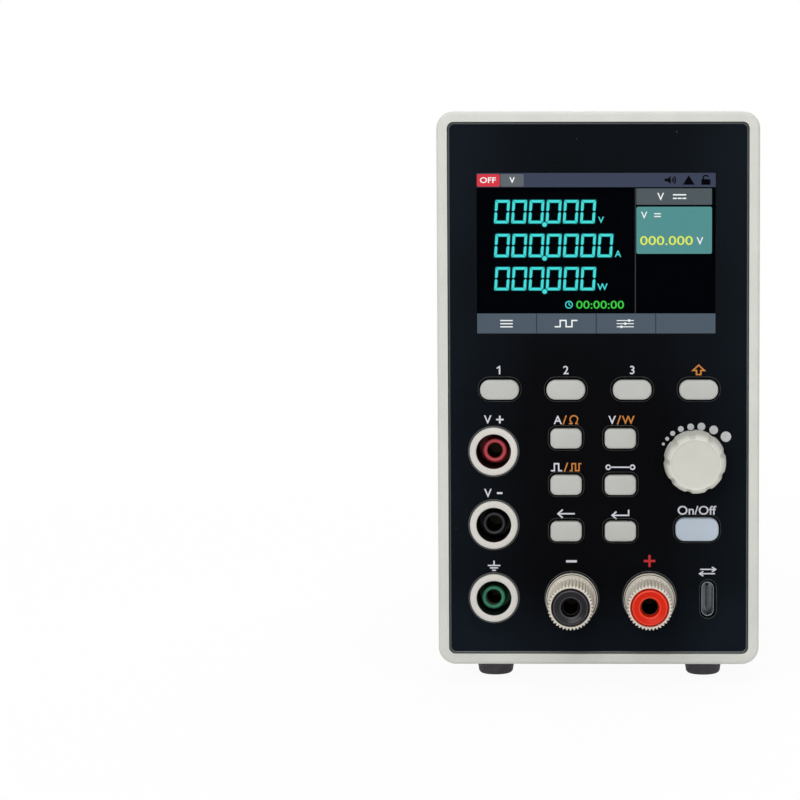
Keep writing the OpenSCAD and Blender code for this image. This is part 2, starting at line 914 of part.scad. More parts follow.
key_tint = [0.75, 0.75, 0.73];
module soft_key_left() { key(soft_key(0), key_tint); }
module soft_key_middle() { key(soft_key(1), key_tint); }
module soft_key_right() { key(soft_key(2), key_tint); }
module shift_key() { key(soft_key(3), key_tint); }
module current_key() { key(small_key(0, 0), key_tint); }
module voltage_key() { key(small_key(1, 0), key_tint); }
module pulse_key() { key(small_key(0, 1), key_tint); }
module short_key() { key(small_key(1, 1), key_tint); }
module back_key() { key(small_key(0, 2), key_tint); }
module enter_key() { key(small_key(1, 2), key_tint); }
module output_key() { key(output_key_place, [0.71, 0.76, 0.80]); }

module encoder_body() {
    color([0.45, 0.46, 0.48]) on_front(knob_place[0], knob_place[1]) difference() {
        union() {
            translate([0, 0, encoder_back]) linear_extrude(encoder_d) square(encoder_w, center = true);
            translate([0, 0, encoder_front - overrun]) cylinder(r = bushing_r, h = bushing_l + overrun);
        }
        translate([0, 0, cavity_back])
            cylinder(r = cavity_r, h = encoder_front - encoder_wall - cavity_back);
        translate([0, 0, encoder_front - encoder_wall - overrun])
            cylinder(r = encoder_shaft_r + running_fit, h = encoder_wall + bushing_l + 2 * overrun);
    }
}

module encoder_plunger() {
    color([0.35, 0.35, 0.36]) on_front(knob_place[0], knob_place[1], plunger_back) difference() {
        cylinder(r = plunger_r, h = plunger_t);
        translate([0, 0, plunger_t - journal_l])
            cylinder(r = journal_r + running_fit, h = journal_l + overrun);
    }
}

// A shaft's section with one flat side
module flatted(r, flat) {
    intersection() {
        circle(r);
        translate([-r, -r - overrun]) square([2 * r, 2 * r + overrun - flat]);
    }
}

module encoder_shaft() {
    color([0.70, 0.70, 0.68]) on_front(knob_place[0], knob_place[1]) {
        translate([0, 0, shaft_back - journal_l]) cylinder(r = journal_r, h = journal_l + collar_t / 2);
        translate([0, 0, shaft_back]) cylinder(r = collar_r, h = collar_t);
        translate([0, 0, shaft_back])
            cylinder(r = encoder_shaft_r, h = encoder_front + bushing_l - shaft_back);
        translate([0, 0, shaft_back]) linear_extrude(shaft_front - shaft_back)
            flatted(encoder_shaft_r, shaft_flat);
    }
}

module knob() {
    lean = atan((knob_r - knob_tip_r) / knob_h);
    color([0.82, 0.81, 0.77]) on_front(knob_place[0], knob_place[1], knob_gap) difference() {
        rotate_extrude() polygon([
            [0, 0], [knob_r, 0], [knob_tip_r, knob_h - knob_edge],
            [knob_tip_r - knob_edge, knob_h], [0, knob_h]
        ]);
        for (i = [0:knob_flutes - 1]) rotate(i * 360 / knob_flutes)
            translate([knob_r + flute_r - flute_depth, 0, 0]) rotate([0, -lean, 0])
                translate([0, 0, -overrun]) cylinder(r = flute_r, h = knob_h + 3 * overrun);
        translate([0, 0, -overrun]) cylinder(r = knob_hollow_r, h = knob_hollow_d + overrun);
        linear_extrude(shaft_front - knob_gap + fit)
            flatted(encoder_shaft_r + thread_fit, shaft_flat - thread_fit);
    }
}

module usb_receptacle() {
    shell_l = board_gap + panel_t - usb_recess;
    color([0.70, 0.71, 0.72]) on_front(usb_place[0], usb_place[1], encoder_back) rotate(90) {
        difference() {
            linear_extrude(shell_l) stadium(usb_l, usb_w);
            translate([0, 0, usb_wall])
                linear_extrude(shell_l) stadium(usb_l - 2 * usb_wall, usb_w - 2 * usb_wall);
        }
        linear_extrude(shell_l - usb_tongue_recess) square([usb_tongue_l, usb_tongue_w], center = true);
    }
}

module jack_collars() {
    color([0.87, 0.86, 0.83]) for (j = jack_places) on_front(j[0], j[1]) {
        tube(jack_r, jack_bore_r, jack_out);
        translate([0, 0, -jack_l]) tube(jack_body_r, jack_bore_r, jack_l + jack_out / 2);
    }
}

module jack_core(i, tint) {
    front = jack_out - core_recess;
    color(tint) on_front(jack_places[i][0], jack_places[i][1], -jack_l - core_base_t) difference() {
        union() {
            cylinder(r = jack_body_r, h = core_base_t);
            cylinder(r = jack_bore_r - running_fit, h = core_base_t + core_neck_l);
            cylinder(r = core_r, h = jack_l + core_base_t + front);
        }
        translate([0, 0, -overrun])
            cylinder(r = contact_r + thread_fit, h = jack_l + core_base_t + front - core_lip + overrun);
        cylinder(r = plug_r, h = jack_l + core_base_t + front + overrun);
    }
}

module sense_plus_core() { jack_core(0, [0.73, 0.25, 0.29]); }
module sense_minus_core() { jack_core(1, [0.16, 0.16, 0.18]); }
module earth_core() { jack_core(2, [0.22, 0.49, 0.35]); }

module jack_contacts() {
    front = jack_out - core_recess - core_lip - running_fit;
    color([0.78, 0.66, 0.36]) for (j = jack_places) on_front(j[0], j[1], front - contact_l) {
        difference() {
            cylinder(r = contact_r, h = contact_l);
            translate([0, 0, contact_floor]) cylinder(r = plug_r, h = contact_l);
        }
        translate([0, 0, -tail_l]) cylinder(r = tail_r, h = tail_l + contact_floor / 2);
    }
}

module nut(across_flats, bore_r, t) {
    difference() {
        linear_extrude(t) hexagon(across_flats);
        translate([0, 0, -overrun]) cylinder(r = bore_r, h = t + 2 * overrun);
    }
}

module panel_nuts() {
    behind_board = -panel_t - board_gap;
    color([0.72, 0.73, 0.74]) {
        for (j = jack_places) on_front(j[0], j[1], -panel_t - jack_nut_t)
            nut(jack_nut_af, jack_body_r + thread_fit, jack_nut_t);
        on_front(knob_place[0], knob_place[1]) nut(encoder_nut_af, bushing_r + thread_fit, encoder_nut_t);
        for (p = post_places, out = [-panel_t - rear_washer_t, behind_board, lug_out - cable_lug_t])
            on_front(p[0], p[1], out - post_nut_t) nut(post_nut_af, stud_r + thread_fit, post_nut_t);
    }
}

module post_bases() {
    color([0.84, 0.82, 0.77]) for (p = post_places) on_front(p[0], p[1]) {
        difference() {
            union() {
                cylinder(r = post_base_r, h = post_base_t);
                translate([0, 0, -panel_t]) cylinder(r = post_bush_r, h = panel_t + post_base_t / 2);
            }
            translate([0, 0, -panel_t - overrun])
                cylinder(r = stud_r + thread_fit, h = panel_t + post_base_t + 2 * overrun);
        }
        translate([0, 0, -panel_t - rear_washer_t]) tube(rear_washer_r, stud_r + thread_fit, rear_washer_t);
    }
}

module post_studs() {
    color([0.80, 0.70, 0.42]) for (p = post_places) on_front(p[0], p[1]) difference() {
        translate([0, 0, -stud_rear]) cylinder(r = stud_r, h = stud_rear + stud_front);
        translate([0, 0, -stud_bore_rear]) cylinder(r = plug_r, h = stud_bore_rear + stud_front + overrun);
        translate([0, 0, wire_hole_out]) rotate([90, 0, 0])
            cylinder(r = wire_hole_r, h = 2 * stud_r + 2 * overrun, center = true);
    }
}

module clamp_washer(i) {
    color([0.76, 0.76, 0.74]) on_front(post_places[i][0], post_places[i][1], post_base_t + post_gap)
        tube(post_washer_r, stud_r + running_fit, washer_t);
}

module post_insert(i, tint) {
    color(tint) on_front(post_places[i][0], post_places[i][1], insert_out) difference() {
        cylinder(r = insert_r, h = insert_l);
        translate([0, 0, -overrun]) cylinder(r = stud_r + running_fit, h = insert_l - insert_cap + overrun);
        cylinder(r = plug_r, h = insert_l + overrun);
    }
}

module knurled_outline() {
    polygon([
        for (i = [0:2 * knurls - 1])
            let (r = i % 2 == 0 ? sleeve_r : sleeve_r - knurl_depth, a = i * 180 / knurls)
                [r * cos(a), r * sin(a)]
    ]);
}

module post_sleeve(i) {
    color([0.86, 0.84, 0.80]) on_front(post_places[i][0], post_places[i][1], insert_out) difference() {
        union() {
            cylinder(r = sleeve_r + sleeve_lip, h = sleeve_ring);
            translate([0, 0, sleeve_ring / 2]) linear_extrude(sleeve_l - sleeve_ring / 2) knurled_outline();
        }
        translate([0, 0, -overrun]) cylinder(r = insert_r + thread_fit, h = sleeve_l + 2 * overrun);
    }
}

module minus_sleeve() { post_sleeve(0); }
module minus_insert() { post_insert(0, [0.18, 0.18, 0.20]); }
module minus_clamp_washer() { clamp_washer(0); }
module plus_sleeve() { post_sleeve(1); }
module plus_insert() { post_insert(1, [0.89, 0.16, 0.06]); }
module plus_clamp_washer() { clamp_washer(1); }

module rear_panel() {
    color([0.78, 0.78, 0.76]) difference() {
        on_rear(0, 0, -plate_t) linear_extrude(plate_t) difference() {
            rounded(panel_w - 2 * panel_fit, panel_h - 2 * panel_fit, corner_r - rim_w);
            translate([0, fan_z]) circle(fan_hole_r);
            translate([-inlet_at[0], inlet_at[1]])
                square([inlet_body_w + 2 * fit, inlet_body_h + 2 * fit], center = true);
            translate([-switch_at[0], switch_at[1]])
                square([switch_body_w + 2 * fit, switch_body_h + 2 * fit], center = true);
        }
        screw_cuts();
    }
}

module fan_guard() {
    reach = sqrt(2) * fan_pitch / 2;
    color([0.70, 0.71, 0.72]) difference() {
        on_rear(0, fan_z) linear_extrude(guard_t) {
            for (i = [1:guard_rings]) difference() {
                circle(i * guard_ring_pitch + guard_wire);
                circle(i * guard_ring_pitch);
            }
            circle(guard_hub_r);
            for (turn = [45, 135]) rotate(turn) square([2 * reach, guard_wire], center = true);
            for (sx = [-1, 1], sz = [-1, 1])
                translate([sx * fan_pitch / 2, sz * fan_pitch / 2]) circle(guard_eye_r);
        }
        screw_cuts();
    }
}

module fan_frame() {
    strut_l = 2 * fan_bore_r + fan_waist / 2;
    color([0.13, 0.13, 0.14]) difference() {
        on_rear(0, fan_z, -plate_t - fan_d) {
            difference() {
                union() {
                    linear_extrude(fan_d) rounded(fan_size - fan_waist, fan_size - fan_waist, fan_corner_r);
                    for (z = [0, fan_d - fan_lug_t]) translate([0, 0, z])
                        linear_extrude(fan_lug_t) rounded(fan_size, fan_size, fan_corner_r);
                }
                translate([0, 0, -overrun]) cylinder(r = fan_bore_r, h = fan_d + 2 * overrun);
            }
            difference() {
                linear_extrude(fan_hub_t) {
                    circle(fan_hub_r);
                    for (turn = [0, 90]) rotate(turn) square([strut_l, fan_strut_w], center = true);
                }
                translate([0, 0, -overrun])
                    cylinder(r = fan_axle_r + running_fit, h = fan_hub_t + 2 * overrun);
            }
        }
        screw_cuts();
    }
}

module fan_rotor() {
    hub_l = fan_d - fan_hub_t - 2 * rotor_gap;
    blade_r = fan_bore_r - rotor_tip_gap;
    color([0.16, 0.16, 0.17]) on_rear(0, fan_z, -plate_t - fan_d) {
        translate([0, 0, fan_hub_t + rotor_gap]) {
            cylinder(r = rotor_hub_r, h = hub_l);
            intersection() {
                cylinder(r = blade_r, h = hub_l);
                for (i = [0:blades - 1]) rotate(i * 360 / blades)
                    translate([rotor_hub_r - overrun, 0, hub_l / 2]) rotate([blade_angle, 0, blade_lean])
                        translate([0, -hub_l, -blade_t / 2]) cube([blade_r, 2 * hub_l, blade_t]);
            }
        }
        cylinder(r = fan_axle_r, h = fan_hub_t + 2 * rotor_gap);
    }
}

// The inlet's opening: square at the line pins, chamfered at the earth pin
module inlet_outline() {
    half = cavity_w / 2;
    polygon([
        [-half, -cavity_h / 2], [half, -cavity_h / 2], [half, cavity_h / 2 - cavity_chamfer],
        [half - cavity_chamfer, cavity_h / 2], [-half + cavity_chamfer, cavity_h / 2],
        [-half, cavity_h / 2 - cavity_chamfer]
    ]);
}

module mains_inlet() {
    color([0.12, 0.12, 0.13]) on_rear(inlet_at[0], inlet_at[1]) difference() {
        union() {
            linear_extrude(inlet_face_t) rounded(inlet_w, inlet_h, inlet_corner_r);
            translate([0, 0, -inlet_body_d]) linear_extrude(inlet_body_d + inlet_face_t / 2)
                square([inlet_body_w, inlet_body_h], center = true);
        }
        translate([0, cavity_z, inlet_face_t - cavity_d]) linear_extrude(cavity_d + overrun)
            inlet_outline();
        translate([0, drawer_z, inlet_face_t - drawer_d - drawer_gap])
            linear_extrude(drawer_d + drawer_gap + overrun)
                square([drawer_w + 2 * drawer_gap, drawer_h + 2 * drawer_gap], center = true);
        for (p = pin_places) translate([p[0], cavity_z + p[1], -inlet_body_d - overrun])
            linear_extrude(inlet_body_d)
                square([pin_w + 2 * thread_fit, pin_h + 2 * thread_fit], center = true);
    }
}

module inlet_pins() {
    floor_out = inlet_face_t - cavity_d;
    color([0.75, 0.74, 0.70]) for (p = pin_places)
        on_rear(inlet_at[0] - p[0], inlet_at[1] + cavity_z + p[1]) {
            translate([0, 0, -inlet_body_d]) linear_extrude(inlet_body_d + floor_out + pin_l)
                square([pin_w, pin_h], center = true);
            translate([0, 0, -inlet_body_d - tab_l]) linear_extrude(tab_l + overrun)
                square([tab_t, tab_w], center = true);
        }
}

module fuse_drawer() {
    pocket_l = fuse_l + 2 * fuse_gap;
    back = inlet_face_t - drawer_d;
    color([0.15, 0.15, 0.16]) on_rear(inlet_at[0], inlet_at[1] + drawer_z, back) difference() {
        linear_extrude(drawer_d) square([drawer_w, drawer_h], center = true);
        translate([-pocket_l / 2, fuse_floor - drawer_h / 2, fuse_pocket_z])
            cube([pocket_l, drawer_h, fuse_pocket_w]);
        translate([0, -drawer_h / 2, drawer_d]) rotate([0, 90, 0])
            cylinder(r = drawer_notch, h = drawer_w / 2, center = true);
    }
}

module fuse() {
    lift = fuse_floor - drawer_h / 2 + fuse_r + running_fit;
    color([0.80, 0.82, 0.84]) on_rear(inlet_at[0], inlet_at[1] + drawer_z, inlet_face_t - drawer_d)
        translate([0, lift, fuse_pocket_z + fuse_pocket_w / 2]) rotate([0, 90, 0])
            cylinder(r = fuse_r, h = fuse_l, center = true);
}

module power_switch_body() {
    color([0.10, 0.10, 0.11]) on_rear(switch_at[0], switch_at[1]) difference() {
        union() {
            linear_extrude(switch_flange_t) square([switch_flange_w, switch_flange_h], center = true);
            translate([0, 0, -switch_body_d]) linear_extrude(switch_body_d + switch_flange_t / 2)
                square([switch_body_w, switch_body_h], center = true);
        }
        translate([0, 0, -switch_well_d]) linear_extrude(switch_well_d + switch_flange_t + overrun)
            square([switch_well_w, switch_well_h], center = true);
        translate([0, 0, rocker_pivot_out]) rotate([0, 90, 0])
            cylinder(r = rocker_pin_r + running_fit, h = rocker_span + 2 * fit, center = true);
    }
}

module power_rocker() {
    color([0.14, 0.14, 0.15]) on_rear(switch_at[0], switch_at[1], rocker_pivot_out)
        rotate([rocker_swing / 2, 0, 0]) {
            rotate([90, 0, 90]) linear_extrude(rocker_w, center = true) polygon([
                [-rocker_half, rocker_edge], [0, rocker_dip], [rocker_half, rocker_edge],
                [rocker_half, -rocker_skirt], [rocker_keel_half, -rocker_keel],
                [-rocker_keel_half, -rocker_keel], [-rocker_half, -rocker_skirt]
            ]);
            rotate([0, 90, 0]) cylinder(r = rocker_pin_r, h = rocker_span, center = true);
        }
}

module heatsink() {
    fin_pitch = (fin_span - fin_t) / (fins - 1);
    leg_x = sink_w / 2 - sink_leg_t;
    color([0.70, 0.71, 0.73]) difference() {
        translate([0, sink_y + sink_l, 0]) rotate([90, 0, 0]) linear_extrude(sink_l) {
            translate([-sink_w / 2, sink_base_z]) square([sink_w, sink_base_t]);
            for (i = [0:fins - 1])
                translate([-fin_span / 2 + i * fin_pitch, sink_base_z + sink_base_t / 2])
                    square([fin_t, fin_h + sink_base_t / 2]);
            for (side = [0, 1]) mirror([side, 0]) {
                translate([leg_x, floor_z]) square([sink_leg_t, sink_base_z + sink_base_t / 2 - floor_z]);
                translate([sink_w / 2 - sink_foot_w, floor_z]) square([sink_foot_w, sink_foot_t]);
            }
        }
        screw_cuts();
    }
}

module power_transistors() {
    first_y = sink_y + transistor_in;
    color([0.14, 0.14, 0.15]) for (side = [-1, 1], row = [0:transistor_rows - 1])
        translate([side * transistor_x, first_y + row * transistor_row_pitch, sink_base_z - transistor_t]) {
            translate([-transistor_w / 2, 0, 0]) cube([transistor_w, transistor_l, transistor_t]);
            for (i = [-1:1]) translate([i * lead_pitch - lead_w / 2, -lead_l, transistor_t / 2])
                cube([lead_w, lead_l + overrun, lead_t]);
        }
}

module power_board() {
    socket_y = power_board_y + ribbon_header_in - header_h / 2;
    color([0.06, 0.32, 0.22]) {
        difference() {
            translate([0, 0, power_board_z]) linear_extrude(pcb_t) {
                translate([-power_board_w / 2, power_board_y]) square([power_board_w, power_board_l]);
                translate([-power_wing_w / 2, power_board_y]) square([power_wing_w, power_wing_l]);
            }
            screw_cuts();
        }
        for (p = post_places)
            translate([p[0] - block_w / 2, power_board_y + block_in - block_l / 2, part_z - pcb_t / 2])
                cube([block_w, block_l, block_h + pcb_t / 2]);
        translate([header_place[0] - header_w / 2, socket_y, part_z - pcb_t / 2])
            cube([header_w, header_h, ribbon_header_h + pcb_t / 2]);
    }
}

module shunt_resistors() {
    color([0.72, 0.60, 0.45]) for (i = [0:shunts - 1])
        translate([shunt_x, power_board_y + shunt_in + i * shunt_pitch, part_z]) rotate([90, 0, 90])
            linear_extrude(shunt_w) difference() {
                square([shunt_l, shunt_h]);
                translate([shunt_t, -overrun])
                    square([shunt_l - 2 * shunt_t, shunt_h - shunt_t + overrun]);
            }
}

module capacitors() {
    color([0.12, 0.16, 0.30]) for (i = [-1:1])
        translate([i * cap_pitch, power_board_y + cap_in + cap_r, part_z]) cylinder(r = cap_r, h = cap_h);
}

module relay() {
    color([0.15, 0.35, 0.60])
        translate([relay_x - relay_w / 2, power_board_y + relay_in - relay_l, part_z])
            cube([relay_w, relay_l, relay_h]);
}

module aux_transformer() {
    color([0.55, 0.50, 0.42]) translate([0, power_board_y + transformer_in, part_z]) {
        translate([-core_w / 2, -core_l / 2, 0]) cube([core_w, core_l, core_h]);
        translate([-bobbin_w / 2, -bobbin_l / 2, 0]) cube([bobbin_w, bobbin_l, bobbin_h]);
    }
}

// The ribbon's strip seen from the side: out of the board's header, round a bend and down
module ribbon_cable() {
    from_y = board_y + pcb_t + header_d;
    from_z = panel_z + header_place[1];
    to_z = part_z + ribbon_header_h;
    to_y = power_board_y + ribbon_header_in;
    bend_y = to_y - ribbon_bend_r;
    bend_z = from_z - ribbon_bend_r;
    color([0.70, 0.71, 0.72]) translate([header_place[0] - ribbon_w / 2, 0, 0]) rotate([90, 0, 90])
        linear_extrude(ribbon_w) {
            translate([from_y, from_z - ribbon_t / 2]) square([bend_y - from_y, ribbon_t]);
            translate([to_y - ribbon_t / 2, to_z]) square([ribbon_t, bend_z - to_z]);
            intersection() {
                difference() {
                    translate([bend_y, bend_z]) circle(ribbon_bend_r + ribbon_t / 2);
                    translate([bend_y, bend_z]) circle(ribbon_bend_r - ribbon_t / 2);
                }
                translate([bend_y, bend_z]) square(2 * ribbon_bend_r);
            }
        }
}

// A smooth tube along points: each ring lies square to the curve through them
function curve(a, b, c, d, t) = 0.5 * (2 * b + (c - a) * t + (2 * a - 5 * b + 4 * c - d) * t * t
    + (3 * b - a - 3 * c + d) * t * t * t);
function route(p, steps) = concat(
    [for (i = [0:len(p) - 2], s = [0:steps - 1])
        curve(p[max(i - 1, 0)], p[i], p[i + 1], p[min(i + 2, len(p) - 1)], s / steps)],
    [p[len(p) - 1]]
);
function unit(v) = v / norm(v);
function ring(centre, ahead, r) = [
    for (k = [0:cable_sides - 1])
        let (a = k * 360 / cable_sides, side = [1, 0, 0], up = cross(ahead, side))
            centre + r * (cos(a) * side + sin(a) * up)
];

module swept_tube(points, r) {
    path = route(points, cable_steps);
    last = len(path) - 1;
    rings = [
        for (i = [0:last]) each ring(path[i], unit(path[min(i + 1, last)] - path[max(i - 1, 0)]), r)
    ];
    n = cable_sides;
    walls = [
        for (i = [0:last - 1], k = [0:n - 1]) let (next = (k + 1) % n)
            [i * n + k, (i + 1) * n + k, (i + 1) * n + next, i * n + next]
    ];
    polyhedron(rings, concat([[for (k = [0:n - 1]) k]], walls, [[for (k = [n - 1:-1:0]) last * n + k]]));
}

module load_cables() {
    lug_y = panel_y - lug_out;
    end_y = power_board_y + block_in;
    end_z = part_z + block_h;
    color([0.55, 0.12, 0.10]) for (p = post_places) {
        z = panel_z + p[1];
        on_front(p[0], p[1], lug_out - cable_lug_t) difference() {
            linear_extrude(cable_lug_t) {
                circle(cable_lug_r);
                translate([-cable_r, 0]) square([2 * cable_r, cable_lug_l]);
            }
            translate([0, 0, -overrun]) cylinder(r = stud_r + thread_fit, h = cable_lug_t + 2 * overrun);
        }
        translate([p[0], 0, 0]) swept_tube([
            [0, lug_y + cable_lug_t + cable_gap, z + cable_lug_l - cable_r],
            [0, lug_y + cable_run, z + cable_lug_l - cable_r],
            [0, end_y - cable_bend, z + cable_arch],
            [0, end_y, z + cable_drop],
            [0, end_y, (z + cable_drop + end_z + cable_gap) / 2],
            [0, end_y, end_z + cable_gap]
        ], cable_r);
    }
}

front_bezel();
front_panel();
display_lens();
cover();
chassis_tray();
rear_bezel();
rear_panel();
screws();
rubber_feet();
control_board();
lcd_module();
keypad_mat();
encoder_body();
encoder_shaft();
encoder_plunger();
knob();
usb_receptacle();
soft_key_left();
soft_key_middle();
soft_key_right();
shift_key();
current_key();
voltage_key();
pulse_key();
short_key();
back_key();
enter_key();
output_key();
jack_collars();
sense_plus_core();
sense_minus_core();
earth_core();
jack_contacts();
panel_nuts();
post_bases();
post_studs();
minus_sleeve();
minus_insert();
minus_clamp_washer();
plus_sleeve();
plus_insert();
plus_clamp_washer();
fan_frame();
fan_rotor();
fan_guard();
mains_inlet();
inlet_pins();
fuse_drawer();
fuse();
power_switch_body();
power_rocker();
heatsink();
power_transistors();
power_board();
shunt_resistors();
capacitors();
relay();
aux_transformer();
ribbon_cable();
load_cables();
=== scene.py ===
import math

import bmesh
import bpy
from mathutils import Matrix, Vector


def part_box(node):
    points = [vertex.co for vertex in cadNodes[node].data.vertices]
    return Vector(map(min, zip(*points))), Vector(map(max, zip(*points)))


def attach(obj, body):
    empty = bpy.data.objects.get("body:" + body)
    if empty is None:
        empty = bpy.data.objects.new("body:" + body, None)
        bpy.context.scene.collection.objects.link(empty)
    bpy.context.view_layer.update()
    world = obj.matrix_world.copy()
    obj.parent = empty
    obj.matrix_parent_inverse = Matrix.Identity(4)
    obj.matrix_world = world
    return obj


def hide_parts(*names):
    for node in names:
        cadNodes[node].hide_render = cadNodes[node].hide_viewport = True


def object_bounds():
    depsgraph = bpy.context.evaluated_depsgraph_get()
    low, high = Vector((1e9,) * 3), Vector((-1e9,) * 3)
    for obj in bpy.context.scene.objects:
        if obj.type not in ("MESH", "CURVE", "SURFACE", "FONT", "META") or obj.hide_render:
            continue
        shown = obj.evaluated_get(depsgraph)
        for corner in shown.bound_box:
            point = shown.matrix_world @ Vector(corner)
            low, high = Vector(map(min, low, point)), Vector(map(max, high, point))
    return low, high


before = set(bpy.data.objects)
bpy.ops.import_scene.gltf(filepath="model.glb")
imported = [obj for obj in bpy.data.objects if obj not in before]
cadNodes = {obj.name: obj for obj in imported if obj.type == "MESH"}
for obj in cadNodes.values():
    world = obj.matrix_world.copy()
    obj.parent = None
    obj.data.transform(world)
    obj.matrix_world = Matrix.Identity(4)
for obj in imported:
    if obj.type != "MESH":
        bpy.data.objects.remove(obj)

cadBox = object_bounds()
mm = 0.001
roundSteps = 128  # points round a turned form, where nothing else is said
panelLow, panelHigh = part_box("front_panel")
panelMid = (panelLow + panelHigh) / 2


# a place on the front: x to the right and z up from the panel's middle, out towards the user, in mm
def onPanel(x, z, out=0.0):
    return Vector((panelMid.x + x * mm, panelLow.y - out * mm, panelMid.z + z * mm))


# where a node's middle lies on the panel, in mm
def middleOf(node):
    low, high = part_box(node)
    return (low.x + high.x) / 2 / mm - panelMid.x / mm, (low.z + high.z) / 2 / mm - panelMid.z / mm


def sizeOf(node):  # how wide and high a node is, in mm
    low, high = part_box(node)
    return (high.x - low.x) / mm, (high.z - low.z) / mm


def scenic(*channels):  # a colour as a picture gives it, 0 to 255, as the renderer wants it
    return tuple((c / 255 / 12.92) if c < 10.4 else ((c / 255 + 0.055) / 1.055) ** 2.4
                 for c in channels) + (1.0,)


def toned(colour, share):  # the same colour, lighter or darker
    return tuple(min(255, c * share) for c in colour)


def paled(colour, share):  # the same colour, on its way to white
    return tuple(c + (255 - c) * share for c in colour)


print("finishes")


class Wire:
    # a socket of a finish; sums on it add Math nodes
    def __init__(self, finish, socket):
        self.finish = finish
        self.socket = socket

    def sum(self, operation, *values):
        return self.finish.node("Math", {"operation": operation}, dict(enumerate(values)))

    def __add__(self, other):
        return self.sum("ADD", self, other)

    def __sub__(self, other):
        return self.sum("SUBTRACT", self, other)

    def __rsub__(self, other):
        return self.sum("SUBTRACT", other, self)

    def __mul__(self, other):
        return self.sum("MULTIPLY", self, other)

    def __gt__(self, other):
        return self.sum("GREATER_THAN", self, other)

    def __lt__(self, other):
        return self.sum("LESS_THAN", self, other)

    __radd__ = __add__
    __rmul__ = __mul__

    def held(self):  # kept between 0 and 1
        return self.finish.node("Clamp", {}, {0: self})

    def wave(self):
        return self.sum("SINE", self)

    def size(self):
        return self.sum("ABSOLUTE", self)


class Nodes:
    # an empty tree, of a material or of the world
    def __init__(self, tree):
        self.tree = tree
        tree.nodes.clear()

    def node(self, kind, settings, inputs, give=0):
        made = self.tree.nodes.new("ShaderNode" + kind)
        for setting, value in settings.items():
            setattr(made, setting, value)
        for socket, value in inputs.items():
            if isinstance(value, Wire):
                self.tree.links.new(value.socket, made.inputs[socket])
            else:
                made.inputs[socket].default_value = value
        return Wire(self, made.outputs[give])

    def seen(self):  # 1 where the camera, a gloss or a clear window looks
        rays = self.node("LightPath", {}, {}, "Is Camera Ray").socket.node.outputs
        camera, gloss, window = [Wire(self, rays["Is " + kind + " Ray"])
                                 for kind in ("Camera", "Glossy", "Transmission")]
        return (camera + gloss + window).held()


class Finish(Nodes):
    # one material; fixed holds what is the same all over it
    def __init__(self, name, fixed):
        self.material = bpy.data.materials.new(name)
        self.material.use_nodes = True
        super().__init__(self.material.node_tree)
        self.output = self.tree.nodes.new("ShaderNodeOutputMaterial")
        self.shader = self.tree.nodes.new("ShaderNodeBsdfPrincipled")
        self.tree.links.new(self.shader.outputs[0], self.output.inputs[0])
        for socket, value in fixed.items():
            self.shader.inputs[socket].default_value = value

    def place(self):
        return self.node("TexCoord", {}, {}, "Object")

    def axes(self):
        split = self.node("SeparateXYZ", {}, {0: self.place()})
        return [Wire(self, out) for out in split.socket.node.outputs]

    def noise(self, size, detail=2.0, stretch=(1, 1, 1)):  # size is about one blot, in mm
        spot = self.node("Mapping", {}, {"Vector": self.place(), "Scale": stretch})
        return self.node("TexNoise", {}, {"Vector": spot, "Scale": 1 / (size * mm), "Detail": detail})

    def cells(self, size, give="Distance"):
        return self.node("TexVoronoi", {}, {"Vector": self.place(), "Scale": 1 / (size * mm)}, give)

    def mix(self, share, first, second):
        return self.node("Mix", {"data_type": "RGBA"}, {0: share, 6: first, 7: second}, 2)

    def tones(self, share, colour, first, second):  # one colour between two shades of it
        return self.mix(share, scenic(*toned(colour, first)), scenic(*toned(colour, second)))

    def edges(self, radius):  # the softened normal, and a mask of the edges: rubbed wear on some finishes, painted highlights on others
        gain = 5.0  # how soon a bent face counts as an edge
        soft = self.node("Bevel", {"samples": 6}, {"Radius": radius * mm})
        flat = self.node("NewGeometry", {}, {}, "Normal")
        facing = self.node("VectorMath", {"operation": "DOT_PRODUCT"}, {0: soft, 1: flat}, "Value")
        return soft, ((1 - facing) * gain).held()

    def feed(self, **wires):
        names = {"colour": "Base Color", "rough": "Roughness", "metal": "Metallic", "alpha": "Alpha",
                 "glow": "Emission Color"}
        for name, wire in wires.items():
            self.tree.links.new(wire.socket, self.shader.inputs[names[name]])

    def relief(self, height, depth, soft=None):  # depth in mm
        inputs = {"Height": height, "Strength": 1.0, "Distance": depth * mm}
        if soft:
            inputs["Normal"] = soft
        bump = self.node("Bump", {}, inputs)
        self.tree.links.new(bump.socket, self.shader.inputs["Normal"])
        return self.material


# spark-eroded plastic: fine even grain, faint clouds of tone, paler edges and a few hairline marks
def moulded(name, colour, grain=0.3, depth=0.012, rough=0.5, level=0.4, rubAndSheen=0.35, edge=0.25):
    made = Finish(name, {"Specular IOR Level": level})
    soft, edgeMask = made.edges(edge)
    cloud = made.noise(9, 3)
    grit = made.noise(grain, 3)
    streak = made.noise(1.1, 2, (1, 1, 0.08))
    tone = made.tones(cloud, colour, 0.95, 1.035)
    tone = made.mix((grit - 0.45).held() * 0.5, tone, scenic(*toned(colour, 0.86)))
    # paler edges: rubbed wear where the edge share is small, a painted highlight where it is raised high
    tone = made.mix(edgeMask * rubAndSheen, tone, scenic(*paled(colour, 0.22)))
    made.feed(colour=tone, rough=rough + (cloud - 0.5) * 0.12 + (streak - 0.5) * 0.08 - edgeMask * 0.12)
    return made.relief(grit * 0.8 + streak * 0.2, depth, soft)


